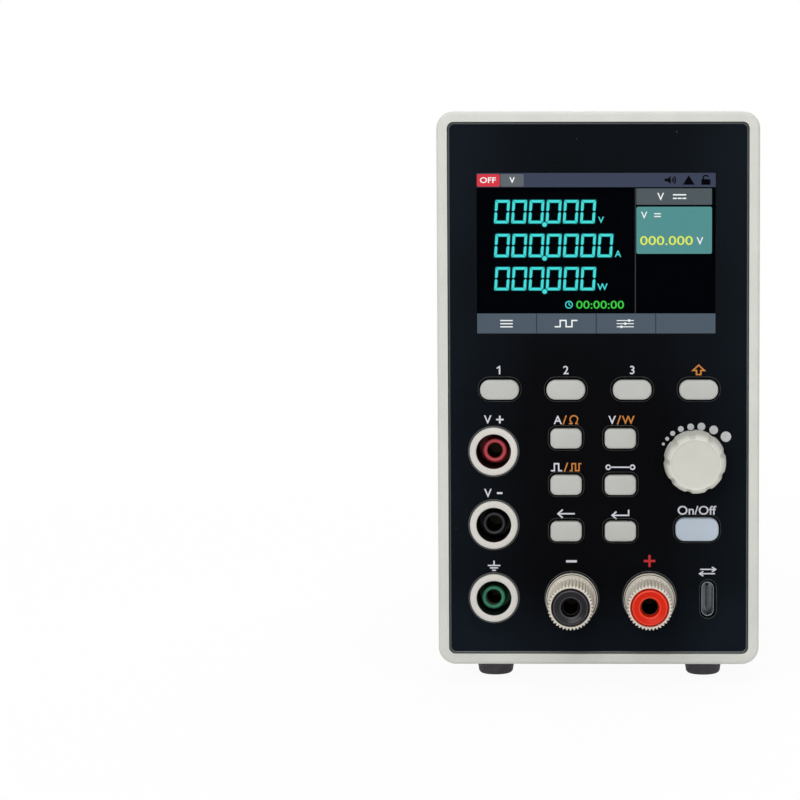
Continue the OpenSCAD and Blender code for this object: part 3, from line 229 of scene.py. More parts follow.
# powder coat on sheet steel: orange peel, dusty clouds, edges where the coat thins
def powderCoated(name, colour):
    made = Finish(name, {"Specular IOR Level": 0.4})
    soft, edgeMask = made.edges(0.35)
    cloud = made.noise(28, 4)
    peel = made.noise(0.75, 2)
    speck = made.cells(2.6)
    tone = made.tones(cloud, colour, 0.93, 1.03)
    tone = made.mix((speck < 0.07) * 0.35, tone, scenic(*toned(colour, 0.6)))
    worn = (edgeMask * made.noise(3, 4) * 2.2 - 0.7).held()
    tone = made.mix(worn, tone, scenic(118, 118, 114))
    made.feed(colour=tone, rough=0.52 + (cloud - 0.5) * 0.2)
    return made.relief(peel, 0.03, soft)


# turned, drawn or plated metal: fine lines along one way, dull blots: tarnish where fingers and air have
# been, and on the contacts painted shade
def plated(name, colour, rough, lines=(1, 1, 14), tarnishAndShade=(120, 112, 98), dull=0.35, edge=0.12):
    made = Finish(name, {"Metallic": 1.0})
    soft, edgeMask = made.edges(edge)
    blot = made.noise(2.4, 4)
    line = made.noise(1.6, 3, lines)
    tone = made.tones(line, colour, 0.86, 1.08)
    tone = made.mix((blot - 0.52).held() * 3 * dull, tone, scenic(*tarnishAndShade))
    tone = made.mix(edgeMask * 0.5, tone, scenic(*paled(colour, 0.4)))
    made.feed(colour=tone, rough=rough + (line - 0.5) * 0.16 + (blot - 0.5) * 0.24)
    return made.relief(line, 0.006, soft)


def galvanised(name, colour):  # zinc spangle on the folded tray
    made = Finish(name, {"Metallic": 1.0})
    soft, edgeMask = made.edges(0.3)
    spangle = made.cells(4.5, "Color")
    shade = made.node("RGBToBW", {}, {0: spangle})
    cloud = made.noise(14, 4)
    tone = made.tones(shade * 0.6 + cloud * 0.4, colour, 0.8, 1.12)
    tone = made.mix(edgeMask * 0.4, tone, scenic(205, 206, 208))
    made.feed(colour=tone, rough=0.36 + shade * 0.2)
    return made.relief(shade * 0.5 + cloud * 0.5, 0.01, soft)


def rubber(name, colour):  # matt foot with grey scuffs and pale dust low down
    made = Finish(name, {"Specular IOR Level": 0.25})
    soft, edgeMask = made.edges(0.4)
    grit = made.noise(0.22, 4)
    scuff = made.noise(2.2, 5, (1, 1, 2.5))
    tone = made.tones(scuff, colour, 0.8, 1.25)
    tone = made.mix(edgeMask * 0.5, tone, scenic(*toned(colour, 1.7)))
    made.feed(colour=tone, rough=0.72 + (scuff - 0.5) * 0.2)
    return made.relief(grit, 0.03, soft)


def circuitBoard(name, mask, copper):  # solder mask over tracks, with pads showing bright
    made = Finish(name, {"Specular IOR Level": 0.5})
    x, y, z = made.axes()
    tracks = (x * 2400).wave() * ((z + y) * 1900).wave() > 0.35  # one every 3 mm or so, both ways
    pads = made.cells(3.1) < 0.12
    weave = made.noise(0.5, 2)
    tone = made.tones(tracks * 0.55, mask, 1, 1.5)
    tone = made.mix(pads, tone, scenic(*copper))
    made.feed(colour=tone, rough=0.32 + weave * 0.2, metal=pads * 0.9)
    return made.relief(tracks + weave * 0.4, 0.03)


# black overlay film: a painted blue reflection towards its sides, top and foot, a fine satin grain, painted
# highlights on its edges and a few specks of dust
def panelFilm():
    # how far from the panel's middle the painted reflection sets in, and over how many mm: aside, above, and
    # near the foot
    look = {"deep": (5, 5, 7), "reflectionBlue": (17, 24, 31), "grain": (20, 24, 29), "edge": (44, 50, 54),
            "dust": (132, 134, 140), "dustCell": 5.2, "sideFrom": 16, "sideOver": 24, "headOver": 190,
            "footFrom": 50, "footOver": 18}
    made = Finish("panelFilm", {"Specular IOR Level": 0.02})
    soft, edgeMask = made.edges(0.15)
    x, y, z = made.axes()
    cloud = made.noise(26, 3)
    grain = made.noise(0.28, 2)
    spot = made.cells(look["dustCell"])
    pick = made.node("RGBToBW", {}, {0: made.cells(look["dustCell"], "Color")})
    specks = (spot < 0.021) * (pick > 0.62)
    aside = ((x.size() - look["sideFrom"] * mm) * (1 / (look["sideOver"] * mm))).held()
    high = ((z - panelMid.z) * (1 / (look["headOver"] * mm))).held()
    foot = ((panelMid.z - look["footFrom"] * mm - z) * (1 / (look["footOver"] * mm))).held()
    # painted reflection: the blue share grows towards the sides, the top and the foot, with random clouds of
    # tone mixed in
    share = (aside * 0.8 + high + foot * 0.7 + cloud * 0.5 - 0.25).held()
    tone = made.mix(share, scenic(*look["deep"]), scenic(*look["reflectionBlue"]))
    tone = made.mix((grain - 0.5).held() * 0.9, tone, scenic(*look["grain"]))
    # painted highlight: paler edges of the film's outline and holes
    tone = made.mix(edgeMask * 0.2, tone, scenic(*look["edge"]))
    tone = made.mix(specks * 0.8, tone, scenic(*look["dust"]))
    made.feed(colour=tone, rough=0.42 + (grain - 0.5) * 0.2)
    return made.relief(grain, 0.006, soft)


def clearLens():  # hard-coated clear window: nearly all light goes through, with a faint smear
    made = Finish("clearLens", {"Base Color": scenic(4, 5, 8), "Specular IOR Level": 0.02})
    smear = made.noise(9, 4, (1, 1, 0.4))
    made.feed(alpha=0.03 + smear * 0.03, rough=0.06 + smear * 0.12)
    return made.relief(smear, 0.004)


def lit(name, colour):  # part of the lit screen: fine rows of pixels
    made = Finish(name, {"Base Color": scenic(1, 1, 2), "Roughness": 0.5, "Specular IOR Level": 0.0,
                         "Emission Strength": 1.06})
    x, y, z = made.axes()
    pixels = 33000  # radians a metre, which is a pixel every 0.19 mm
    rows = (z * pixels).wave() * 0.5 + 0.5
    columns = (x * pixels).wave() * 0.5 + 0.5
    cloud = made.noise(3, 2)
    share = (rows * columns * 0.5 + (1 - cloud) * 0.25).held()
    made.feed(glow=made.tones(share, colour, 1.03, 0.92))
    return made.relief(rows, 0.002)


def ink(name, colour):  # screen-printed ink: a little mottled, with the mesh's fine bite
    made = Finish(name, {"Specular IOR Level": 0.25})
    bite = made.noise(0.16, 2)
    cloud = made.noise(1.2, 3)
    tone = made.tones(cloud, colour, 0.9, 1.05)
    tone = made.mix((bite - 0.52).held() * 1.6, tone, scenic(*toned(colour, 0.72)))
    made.feed(colour=tone, rough=0.55 + bite * 0.2)
    return made.relief(bite, 0.01)


def silicone(name, colour):  # the soft mat under the keys, slightly see-through
    made = Finish(name, {"Subsurface Weight": 0.15, "Subsurface Scale": 0.001})
    cloud = made.noise(5, 3)
    made.feed(colour=made.tones(cloud, colour, 0.9, 1.05), rough=0.5 + cloud * 0.2)
    return made.relief(cloud, 0.02)


def sleeved(name, colour, band):  # shrunk sleeve of a capacitor: glossy, with a paler stripe
    made = Finish(name, {"Specular IOR Level": 0.5})
    x, y, z = made.axes()
    stripe = (x * 700).wave() > 0.93  # a narrow one every 9 mm
    wrinkle = made.noise(2.5, 3, (1, 1, 0.3))
    tone = made.mix(stripe, scenic(*colour), scenic(*band))
    made.feed(colour=tone, rough=0.22 + wrinkle * 0.2)
    return made.relief(wrinkle, 0.04)


def striped(name, first, second, pitch, axis, metal=0.0, depth=0.2):  # laminations, or a flat cable's cores
    made = Finish(name, {"Metallic": metal})
    along = made.axes()[axis]
    ridge = (along * (2 * math.pi / (pitch * mm))).wave() * 0.5 + 0.5
    cloud = made.noise(4, 3)
    tone = made.mix(ridge, scenic(*first), scenic(*second))
    tone = made.mix(cloud * 0.3, tone, scenic(*toned(first, 0.7)))
    made.feed(colour=tone, rough=0.4 + cloud * 0.2)
    return made.relief(ridge, depth)


finishes = {
    "bezel_plastic": moulded("bezelPlastic", (210, 211, 204), grain=0.35, rough=0.46),
    "panel_black": panelFilm(),
    "lens_clear": clearLens(),
    "cover_paint": powderCoated("coverPaint", (200, 201, 195)),
    "rear_paint": powderCoated("rearPaint", (192, 193, 188)),
    "tray_steel": galvanised("traySteel", (176, 180, 184)),
    "screw_steel": plated("screwSteel", (170, 172, 174), 0.28),
    "foot_rubber": rubber("footRubber", (84, 80, 86)),
    "board_green": circuitBoard("boardGreen", (22, 74, 48), (206, 190, 140)),
    "lcd_black": moulded("displayFrame", (16, 19, 24), grain=0.5, rough=0.35, level=0.1, rubAndSheen=0.1),
    "mat_silicone": silicone("keypadMat", (196, 198, 200)),
    "encoder_metal": plated("encoderMetal", (150, 152, 156), 0.34),
    "plunger_plastic": moulded("plungerPlastic", (30, 31, 34), rough=0.4),
    # the knob's high edge share paints highlights on its edges and shoulder
    "knob_cream": moulded("knobCream", (207, 206, 197), grain=0.22, depth=0.006, rough=0.5, rubAndSheen=0.9,
                          edge=0.3),
    "usb_steel": plated("portSteel", (128, 132, 138), 0.3, edge=0.08),
    "key_grey": moulded("keyGrey", (187, 188, 183), grain=0.2, depth=0.005, rough=0.55, rubAndSheen=0.2, edge=0.15),
    "key_blue_white": moulded("outputKey", (180, 192, 205), grain=0.2, depth=0.005, rough=0.5, rubAndSheen=0.2),
    "collar_white": moulded("collarWhite", (211, 207, 201), grain=0.25, depth=0.006, rough=0.45),
    "core_red": moulded("coreRed", (206, 72, 82), grain=0.25, rough=0.4, rubAndSheen=0.2),
    "core_black": moulded("coreBlack", (33, 33, 37), grain=0.25, rough=0.38, rubAndSheen=0.2),
    "core_green": moulded("coreGreen", (58, 136, 102), grain=0.25, rough=0.4, rubAndSheen=0.2),
    # painted shade: the contacts are very dark, and their blots darker, for the shade deep in the holes
    "contact_brass": plated("contactBrass", (48, 42, 34), 0.42, tarnishAndShade=(22, 19, 16), dull=0.6),
    "nut_steel": plated("nutSteel", (168, 166, 160), 0.32),
    "post_cream": moulded("postCream", (216, 209, 196), grain=0.25, depth=0.008, rough=0.45),
    # the inserts' high edge share paints highlights on their edges
    "insert_black": moulded("insertBlack", (17, 17, 20), grain=0.3, depth=0.004, rough=0.2, level=0.22,
                            rubAndSheen=0.9),
    "insert_red": moulded("insertRed", (214, 34, 6), grain=0.3, depth=0.004, rough=0.24, level=0.12, rubAndSheen=0.5),
    "fan_black": moulded("fanBlack", (28, 29, 31), grain=0.4, rough=0.5),
    "guard_steel": plated("guardSteel", (178, 180, 182), 0.25),
    "inlet_black": moulded("inletBlack", (26, 26, 28), grain=0.35, rough=0.42),
    "pin_metal": plated("pinMetal", (196, 190, 172), 0.25, lines=(1, 14, 1)),
    "fuse_glass": plated("fuseGlass", (200, 204, 206), 0.12, dull=0.2),
    "rocker_black": moulded("rockerBlack", (22, 22, 24), grain=0.3, rough=0.34),
    "sink_aluminium": plated("sinkAluminium", (196, 198, 202), 0.38, lines=(14, 1, 14)),
    "transistor_black": moulded("transistorBlack", (34, 34, 36), grain=0.4, rough=0.6),
    "shunt_alloy": plated("shuntAlloy", (184, 150, 116), 0.35),
    "capacitor_blue": sleeved("capacitorSleeve", (28, 44, 92), (196, 202, 214)),
    "relay_blue": moulded("relayBlue", (38, 92, 168), grain=0.4, rough=0.36),
    "transformer_core": striped("transformerCore", (96, 92, 84), (60, 57, 52), 0.7, 2, 0.6, 0.12),
    "ribbon_grey": striped("ribbonGrey", (168, 168, 166), (120, 120, 120), 1.27, 0),
    "cable_red": moulded("cableRed", (170, 32, 26), grain=0.6, depth=0.02, rough=0.42),
}
for node, part in cadNodes.items():
    for place in part.material_slots:
        place.material = finishes[place.material.name.split(".")[0]]
print("  ", len(finishes), "finishes on", len(cadNodes), "nodes")


print("mesh tools")


def closedMesh(name, bm, sharp=38):
    bmesh.ops.remove_doubles(bm, verts=bm.verts, dist=1e-7)
    bmesh.ops.dissolve_degenerate(bm, edges=bm.edges, dist=1e-7)
    bmesh.ops.recalc_face_normals(bm, faces=bm.faces)
    mesh = bpy.data.meshes.new(name)
    bm.to_mesh(mesh)
    bm.free()
    for face in mesh.polygons:
        face.use_smooth = True
    mesh.set_sharp_from_angle(angle=math.radians(sharp))
    return mesh


def addPiece(name, mesh, body, slots, stands=()):  # slots are the record's, or finishes of the scene's own
    piece = bpy.data.objects.new(name, mesh)
    bpy.context.scene.collection.objects.link(piece)
    for slot in slots:
        mesh.materials.append(finishes[slot] if isinstance(slot, str) else slot)
    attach(piece, body)
    if stands:
        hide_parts(*stands)
    return piece


def skin(bm, rings, loop=False):  # faces between rings of as many points; a loop joins the last to the first
    made = [[bm.verts.new(p) for p in ring] for ring in rings]
    pairs = list(zip(made, made[1:])) + ([(made[-1], made[0])] if loop else [])
    for a, b in pairs:
        for i in range(len(a)):
            j = (i + 1) % len(a)
            bm.faces.new((a[i], a[j], b[j], b[i]))
    return made


# a turned form about an axis that points at the user, from rows of radius and out;
# cut(row, angle) gives the radius where it isn't round
def turned(bm, x, z, profile, steps=roundSteps, loop=False, cut=None):
    rings = []
    for row in profile:
        ring = []
        for i in range(steps):
            angle = 2 * math.pi * i / steps
            radius = cut(row, angle) if cut else row[0]
            ring.append(onPanel(x + radius * math.cos(angle), z + radius * math.sin(angle), row[1]))
        rings.append(ring)
    skin(bm, rings, loop)


# gives rows of a turned form the piece's second finish; first is its first face, pick(i) chooses steps
def shadeRows(bm, first, rows, steps=roundSteps, pick=lambda i: True):
    bm.faces.ensure_lookup_table()
    for row in rows:
        for i in range(steps):
            if pick(i):
                bm.faces[first + row * steps + i].material_index = 1


def roundedOutline(width, height, radius, steps=10):
    radius = max(0.05, min(radius, width / 2, height / 2))  # no corner is quite sharp
    points = []
    for corner, (sx, sz) in enumerate(((1, 1), (-1, 1), (-1, -1), (1, -1))):
        for i in range(steps + 1):
            angle = math.pi / 2 * (corner + i / steps)
            points.append((sx * (width / 2 - radius) + radius * math.cos(angle),
                           sz * (height / 2 - radius) + radius * math.sin(angle)))
    return points


# a form of rounded outlines, from rows of inset and out, closed by flat faces or joined in a loop
def lofted(bm, x, z, width, height, radius, rows, loop=False):
    rings = [[onPanel(x + px, z + pz, out) for px, pz in
              roundedOutline(width - 2 * inset, height - 2 * inset, radius - inset)] for inset, out in rows]
    made = skin(bm, rings, loop)
    if not loop:
        bm.faces.new(made[0])
        bm.faces.new(made[-1])


print("keys")
keyLook = {
    "gap": 0.45,  # between a key and the edge of its hole
    "trim": (0.08, 0.22),  # how much a cap is narrower and lower than its node, down from the top
    "corner": 2.45, "smallCorner": 1.6, "smallUnder": 9,  # a key less wide than this has the smaller corners
    "flange": 0.9,  # how far the flange behind the panel reaches past the cap
    "flangeFrom": -2.2, "flangeTo": -3.2, "stem": 1.5, "stemSteps": 32,
    "cap": [(0, -2.2), (0, 0.95), (0.05, 1.14), (0.16, 1.28), (0.34, 1.37), (0.62, 1.4)],
    "lip": [(-0.02, 0), (-0.03, 0.05), (-0.08, 0.08), (-0.13, 0.05), (-0.15, 0)],
}
keyBack = moulded("keyBack", (20, 20, 22), grain=0.3, rough=0.6, level=0.1)
keyNames = ["soft_key_left", "soft_key_middle", "soft_key_right", "shift_key", "current_key", "voltage_key",
            "pulse_key", "short_key", "back_key", "enter_key", "output_key"]
lips = bmesh.new()
for key in keyNames:
    x, z = middleOf(key)
    reach = keyLook["flange"]
    width, height = [side - 2 * reach for side in sizeOf(key)]
    radius = keyLook["smallCorner"] if width < keyLook["smallUnder"] else keyLook["corner"]
    back = -(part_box(key)[1].y - panelLow.y) / mm
    bm = bmesh.new()
    slim, short = keyLook["trim"]
    lofted(bm, x, z - short / 2, width - slim, height - short, radius - short / 2, keyLook["cap"])
    seenFaces = len(bm.faces)
    front, stem = keyLook["flangeTo"], keyLook["stem"]
    lofted(bm, x, z, width + 2 * reach, height + 2 * reach, radius + reach,
           [(0, keyLook["flangeFrom"]), (0, front)])
    turned(bm, x, z, [(0, front), (stem, front), (stem, back), (0, back)], keyLook["stemSteps"])
    for face in list(bm.faces)[seenFaces:]:
        face.material_index = 1
    slot = "key_blue_white" if key == "output_key" else "key_grey"
    addPiece(key + "_cap", closedMesh(key + "_cap", bm), key, [slot, keyBack], [key])
    gap = keyLook["gap"]
    lofted(lips, x, z, width + 2 * gap, height + 2 * gap, radius + gap, keyLook["lip"], loop=True)
print("   ", len(keyNames), "caps")


print("knob")
knobLook = {
    "flutes": 9, "fluteTurn": 16.6, "fluteDepth": 0.52, "fluteRound": 0.8, "steps": 360,
    # radius, out, share of the flute's depth there
    "outside": [(7.72, 0.9, 0.5), (7.9, 1.0, 0.5), (7.95, 1.2, 0.5), (7.92, 3.2, 0.5), (7.84, 5.4, 0.55),
                (7.74, 6.6, 0.6), (7.66, 7.6, 0.75), (7.57, 8.6, 0.9), (7.48, 9.3, 1), (7.34, 9.8, 1),
                (7.16, 10.2, 1), (6.92, 10.46, 0.9), (6.7, 10.64, 0.55), (6.52, 10.78, 0.2), (6.4, 10.86, 0),
                (6.32, 10.9, 0), (6.22, 10.9, 0), (6.14, 10.84, 0), (6.02, 10.72, 0), (5.86, 10.66, 0),
                (5.5, 10.64, 0), (2.5, 10.62, 0), (0, 10.62, 0)],
    "inside": [(0, 9.5, 0), (3.05, 9.5, 0), (3.05, 3.7, 0), (6.3, 3.7, 0), (6.3, 0.9, 0)],
    # the rows that carry the painted highlight round the face's rim
    "highlightRows": (18, 19, 20, 21),
}


def fluted(row, angle):
    step = 360 / knobLook["flutes"]
    off = (math.degrees(angle) - knobLook["fluteTurn"] + step / 2) % step - step / 2
    arc = math.radians(abs(off)) * row[0]
    depth = max(0.0, knobLook["fluteDepth"] - arc * arc / (2 * knobLook["fluteRound"]))
    return row[0] - depth * row[2]


bm = bmesh.new()
x, z = middleOf("encoder_shaft")
turned(bm, x, z, knobLook["inside"] + knobLook["outside"], knobLook["steps"], cut=fluted)
shadeRows(bm, 0, knobLook["highlightRows"], knobLook["steps"])
# painted highlight: a paler finish on the ring of rows at the face's rim
knobRim = moulded("knobRim", (217, 216, 207), grain=0.22, depth=0.006, rough=0.5)
addPiece("fluted_knob", closedMesh("fluted_knob", bm, sharp=50), "knob_turn", ["knob_cream", knobRim],
         ["knob"])


print("binding posts")
postLook = {
    "insert": [(3.06, 3.8), (4.85, 3.8), (4.85, 16.0), (4.81, 16.2), (4.72, 16.28), (4.63, 16.2),
               (4.59, 16.0), (4.52, 16.0), (4.49, 16.4), (4.42, 16.74), (4.28, 16.92), (4.08, 17.0),
               (3.88, 16.97), (3.6, 16.86), (3.1, 16.74), (2.78, 16.68), (2.56, 16.62), (2.43, 16.48),
               (2.36, 16.15), (2.3, 15.3), (2.1, 14.75), (2.06, 14.62), (3.06, 14.6)],
    # painted glints: a paler finish on the rows of the insert's crest and of its hole's lip
    "glintRows": (9, 10, 15, 16), "glintTones": {"insert_black": (60, 56, 66), "insert_red": (232, 66, 40)},
    # with the washer behind the panel apart from it
    "base": [(3.03, -2), (4.4, -2), (4.4, 0), (6.5, 0), (6.64, 2.1), (6.64, 2.35), (6.6, 2.5), (6.5, 2.6),
             (6.44, 2.55), (6.41, 2.3), (6.41, 1.9), (6.26, 1.9), (6.26, 2.3), (6.24, 2.52), (6.16, 2.58),
             (6.0, 2.6), (3.03, 2.6)],
    "grooveRows": (9, 10, 11),
    "washer": [(3.03, -4), (6.5, -4), (6.5, -2), (3.03, -2)],
    # radius, out, share of the knurl's depth there
    "sleeve": [(4.9, 3.8, 0), (5.85, 3.8, 0), (5.95, 3.9, 0), (5.95, 4.3, 0), (5.8, 4.45, 0.5), (5.8, 4.7, 1),
               (5.8, 16.0, 1), (5.76, 16.35, 1), (5.6, 16.62, 0.9), (5.35, 16.78, 0.3), (5.15, 16.8, 0),
               (4.97, 16.78, 0), (4.9, 16.7, 0)],
    "knurls": 38, "knurlDepth": 0.52, "knurlRound": 1.6, "knurlSteps": 8, "flankRows": (5, 6),
}


def knurled(row, angle):
    groove = 0.5 + 0.5 * math.cos(angle * postLook["knurls"])  # 1 in a groove, 0 on a crest
    return row[0] - postLook["knurlDepth"] * row[2] * groove ** postLook["knurlRound"]


knurlShade = moulded("knurlShade", (158, 149, 132), grain=0.25, depth=0.008, rough=0.6, rubAndSheen=0.1)
# painted shade: a dark finish on the walls and floor of the groove in the base's face
baseGrooveShade = moulded("baseGrooveShade", (62, 60, 54), grain=0.25, depth=0.008, rough=0.7, level=0.1, rubAndSheen=0.1)
bases = bmesh.new()
for side, finish in (("minus", "insert_black"), ("plus", "insert_red")):
    x, z = middleOf(side + "_insert")
    first = len(bases.faces)
    turned(bases, x, z, postLook["base"], loop=True)
    shadeRows(bases, first, postLook["grooveRows"])
    turned(bases, x, z, postLook["washer"], loop=True)
    bm = bmesh.new()
    turned(bm, x, z, postLook["insert"], loop=True)
    shadeRows(bm, 0, postLook["glintRows"])
    # the insert's painted glint finish
    crest = moulded(side + "Glint", postLook["glintTones"][finish], grain=0.3, depth=0.004, rough=0.2, level=0.25)
    addPiece(side + "_cap", closedMesh(side + "_cap", bm, sharp=50), side + "_knob", [finish, crest],
             [side + "_insert"])
    bm = bmesh.new()
    steps = postLook["knurls"] * postLook["knurlSteps"]
    turned(bm, x, z, postLook["sleeve"], steps, loop=True, cut=knurled)
    sides = (0, postLook["knurlSteps"] - 1)  # each side of a groove's floor
    shadeRows(bm, 0, postLook["flankRows"], steps, pick=lambda i: i % postLook["knurlSteps"] in sides)
    addPiece(side + "_grip", closedMesh(side + "_grip", bm, sharp=42), side + "_knob",
             ["post_cream", knurlShade], [side + "_sleeve"])
addPiece("post_base_rings", closedMesh("post_base_rings", bases, sharp=50), "case",
         ["post_cream", baseGrooveShade], ["post_bases"])


print("sockets")
socketLook = {
    "collar": [(4.46, -14), (5.2, -14), (5.2, -0.02), (6.14, -0.02), (6.14, 0.55), (6.1, 0.78), (5.96, 0.94),
               (5.75, 1.0), (4.66, 1.0), (4.53, 0.97), (4.46, 0.88)],
    "liner": [(4.33, -11.9), (4.44, -11.9), (4.44, 0.82), (4.41, 0.88), (4.36, 0.88), (4.33, 0.82)],
    "core": [(2.74, -16), (4.6, -16), (4.6, -14.1), (4.2, -14.1), (4.2, -12), (3.04, -12), (3.04, -3.1),
             (2.97, -2.84), (2.8, -2.67), (2.5, -2.6), (2.3, -2.62), (2.1, -2.74), (1.99, -2.95),
             (1.95, -3.3), (1.95, -3.9), (2.74, -3.95)],
    "coreSteps": 96,
    "lip": [(6.2, 0), (6.26, 0.1), (6.36, 0.14), (6.5, 0.1), (6.6, 0)],
    # core, its slot, how far it sits right of and above the collar's middle, and the liner's colour, the
    # core's own darkened as painted shade in the bore
    "places": [("sense_plus_core", "core_red", 0.22, 0, (38, 12, 14)),
               ("sense_minus_core", "core_black", -0.04, 0, (17, 12, 13)),
               ("earth_core", "core_green", -0.27, -0.25, (10, 24, 19))],
    "postLip": [(6.8, 0), (6.84, 0.04), (6.92, 0.06), (7.0, 0.04), (7.04, 0)],
}
collars = bmesh.new()
for core, slot, aside, rise, shade in socketLook["places"]:
    x, z = middleOf(core)
    turned(collars, x, z, socketLook["collar"], loop=True)
    turned(lips, x, z, socketLook["lip"], loop=True)
    liner, tube = bmesh.new(), bmesh.new()
    turned(liner, x, z, socketLook["liner"], loop=True)
    # the liner's finish is painted shade: the core's colour darkened
    linerShade = moulded(core + "Liner", shade, grain=0.25, rough=0.5, level=0.1, rubAndSheen=0.1)
    addPiece(core + "_liner", closedMesh(core + "_liner", liner, sharp=50), "case", [linerShade])
    turned(tube, x + aside, z + rise, socketLook["core"], socketLook["coreSteps"], loop=True)
    addPiece(core + "_tube", closedMesh(core + "_tube", tube, sharp=50), "case", [slot], [core])
addPiece("socket_collars", closedMesh("socket_collars", collars, sharp=50), "case", ["collar_white"],
         ["jack_collars"])
for side in ("minus", "plus"):
    turned(lips, *middleOf(side + "_insert"), socketLook["postLip"], loop=True)


print("port and the panel's edge")
edgeLook = {
    "edge": [(0.02, -0.3), (0.02, 0.06), (0.1, 0.13), (0.24, 0.1), (0.42, 0.0), (0.42, -0.3)], "corner": 1.7,
    "slot": {"width": 4.15, "height": 9.95, "radius": 2.07, "side": 0.12},
    "shell": {"wall": 0.32, "front": -0.4, "back": -9.0, "floor": -8.4, "rim": (0.08, 0.1)},
    "tongue": {"width": 0.55, "height": 6.6, "radius": 0.2, "front": -1.5, "rim": (0.12, 0.15),
               "clear": 0.02},
}
bm = bmesh.new()
lofted(bm, 0, 0, *sizeOf("front_panel"), edgeLook["corner"], edgeLook["edge"], loop=True)
# painted highlight: the film's edge is much paler than the film, for the light it catches
edgeHighlightFinish = moulded("filmEdgeHighlight", (62, 69, 71), grain=1.4, depth=0.02, rough=0.3, level=0.5, rubAndSheen=0.6)
addPiece("panel_edge", closedMesh("panel_edge", bm), "case", [edgeHighlightFinish])

x, z = middleOf("usb_receptacle")
width, height = sizeOf("usb_receptacle")
slotCut = edgeLook["slot"]
lofted(lips, x + slotCut["side"], z, slotCut["width"], slotCut["height"], slotCut["radius"], keyLook["lip"],
       loop=True)
shell, tongue = edgeLook["shell"], edgeLook["tongue"]
inset, sunk = shell["rim"]
bm = bmesh.new()
lofted(bm, x, z, width, height, width / 2, [
    (0, shell["back"]), (0, shell["front"] - sunk), (inset, shell["front"]),
    (shell["wall"] - inset, shell["front"]), (shell["wall"], shell["front"] - sunk),
    (shell["wall"], shell["floor"])])
addPiece("port_shell", closedMesh("port_shell", bm), "case", ["usb_steel"], ["usb_receptacle"])
inset, sunk = tongue["rim"]
bm = bmesh.new()
lofted(bm, x, z, tongue["width"], tongue["height"], tongue["radius"], [
    (0, shell["floor"] + tongue["clear"]), (0, tongue["front"] - sunk), (inset, tongue["front"])])
portFinish = moulded("portTongue", (72, 75, 80), grain=0.2, rough=0.5, level=0.3)
addPiece("port_tongue", closedMesh("port_tongue", bm), "case", [portFinish])
# painted highlight: the lips round the holes are paler than the film, for the light their edges catch
lipHighlightFinish = moulded("lipHighlight", (72, 75, 75), grain=0.3, depth=0.004, rough=0.35, level=0.3)
addPiece("hole_lips", closedMesh("hole_lips", lips), "case", [lipHighlightFinish])


print("screen")


def arcOf(x, z, radius, first, last, step=12):  # points of an arc, with its ends in degrees
    turns = [math.radians(a) for a in range(first, last + 1, step)]
    return [(x + radius * math.cos(a), z + radius * math.sin(a)) for a in turns]


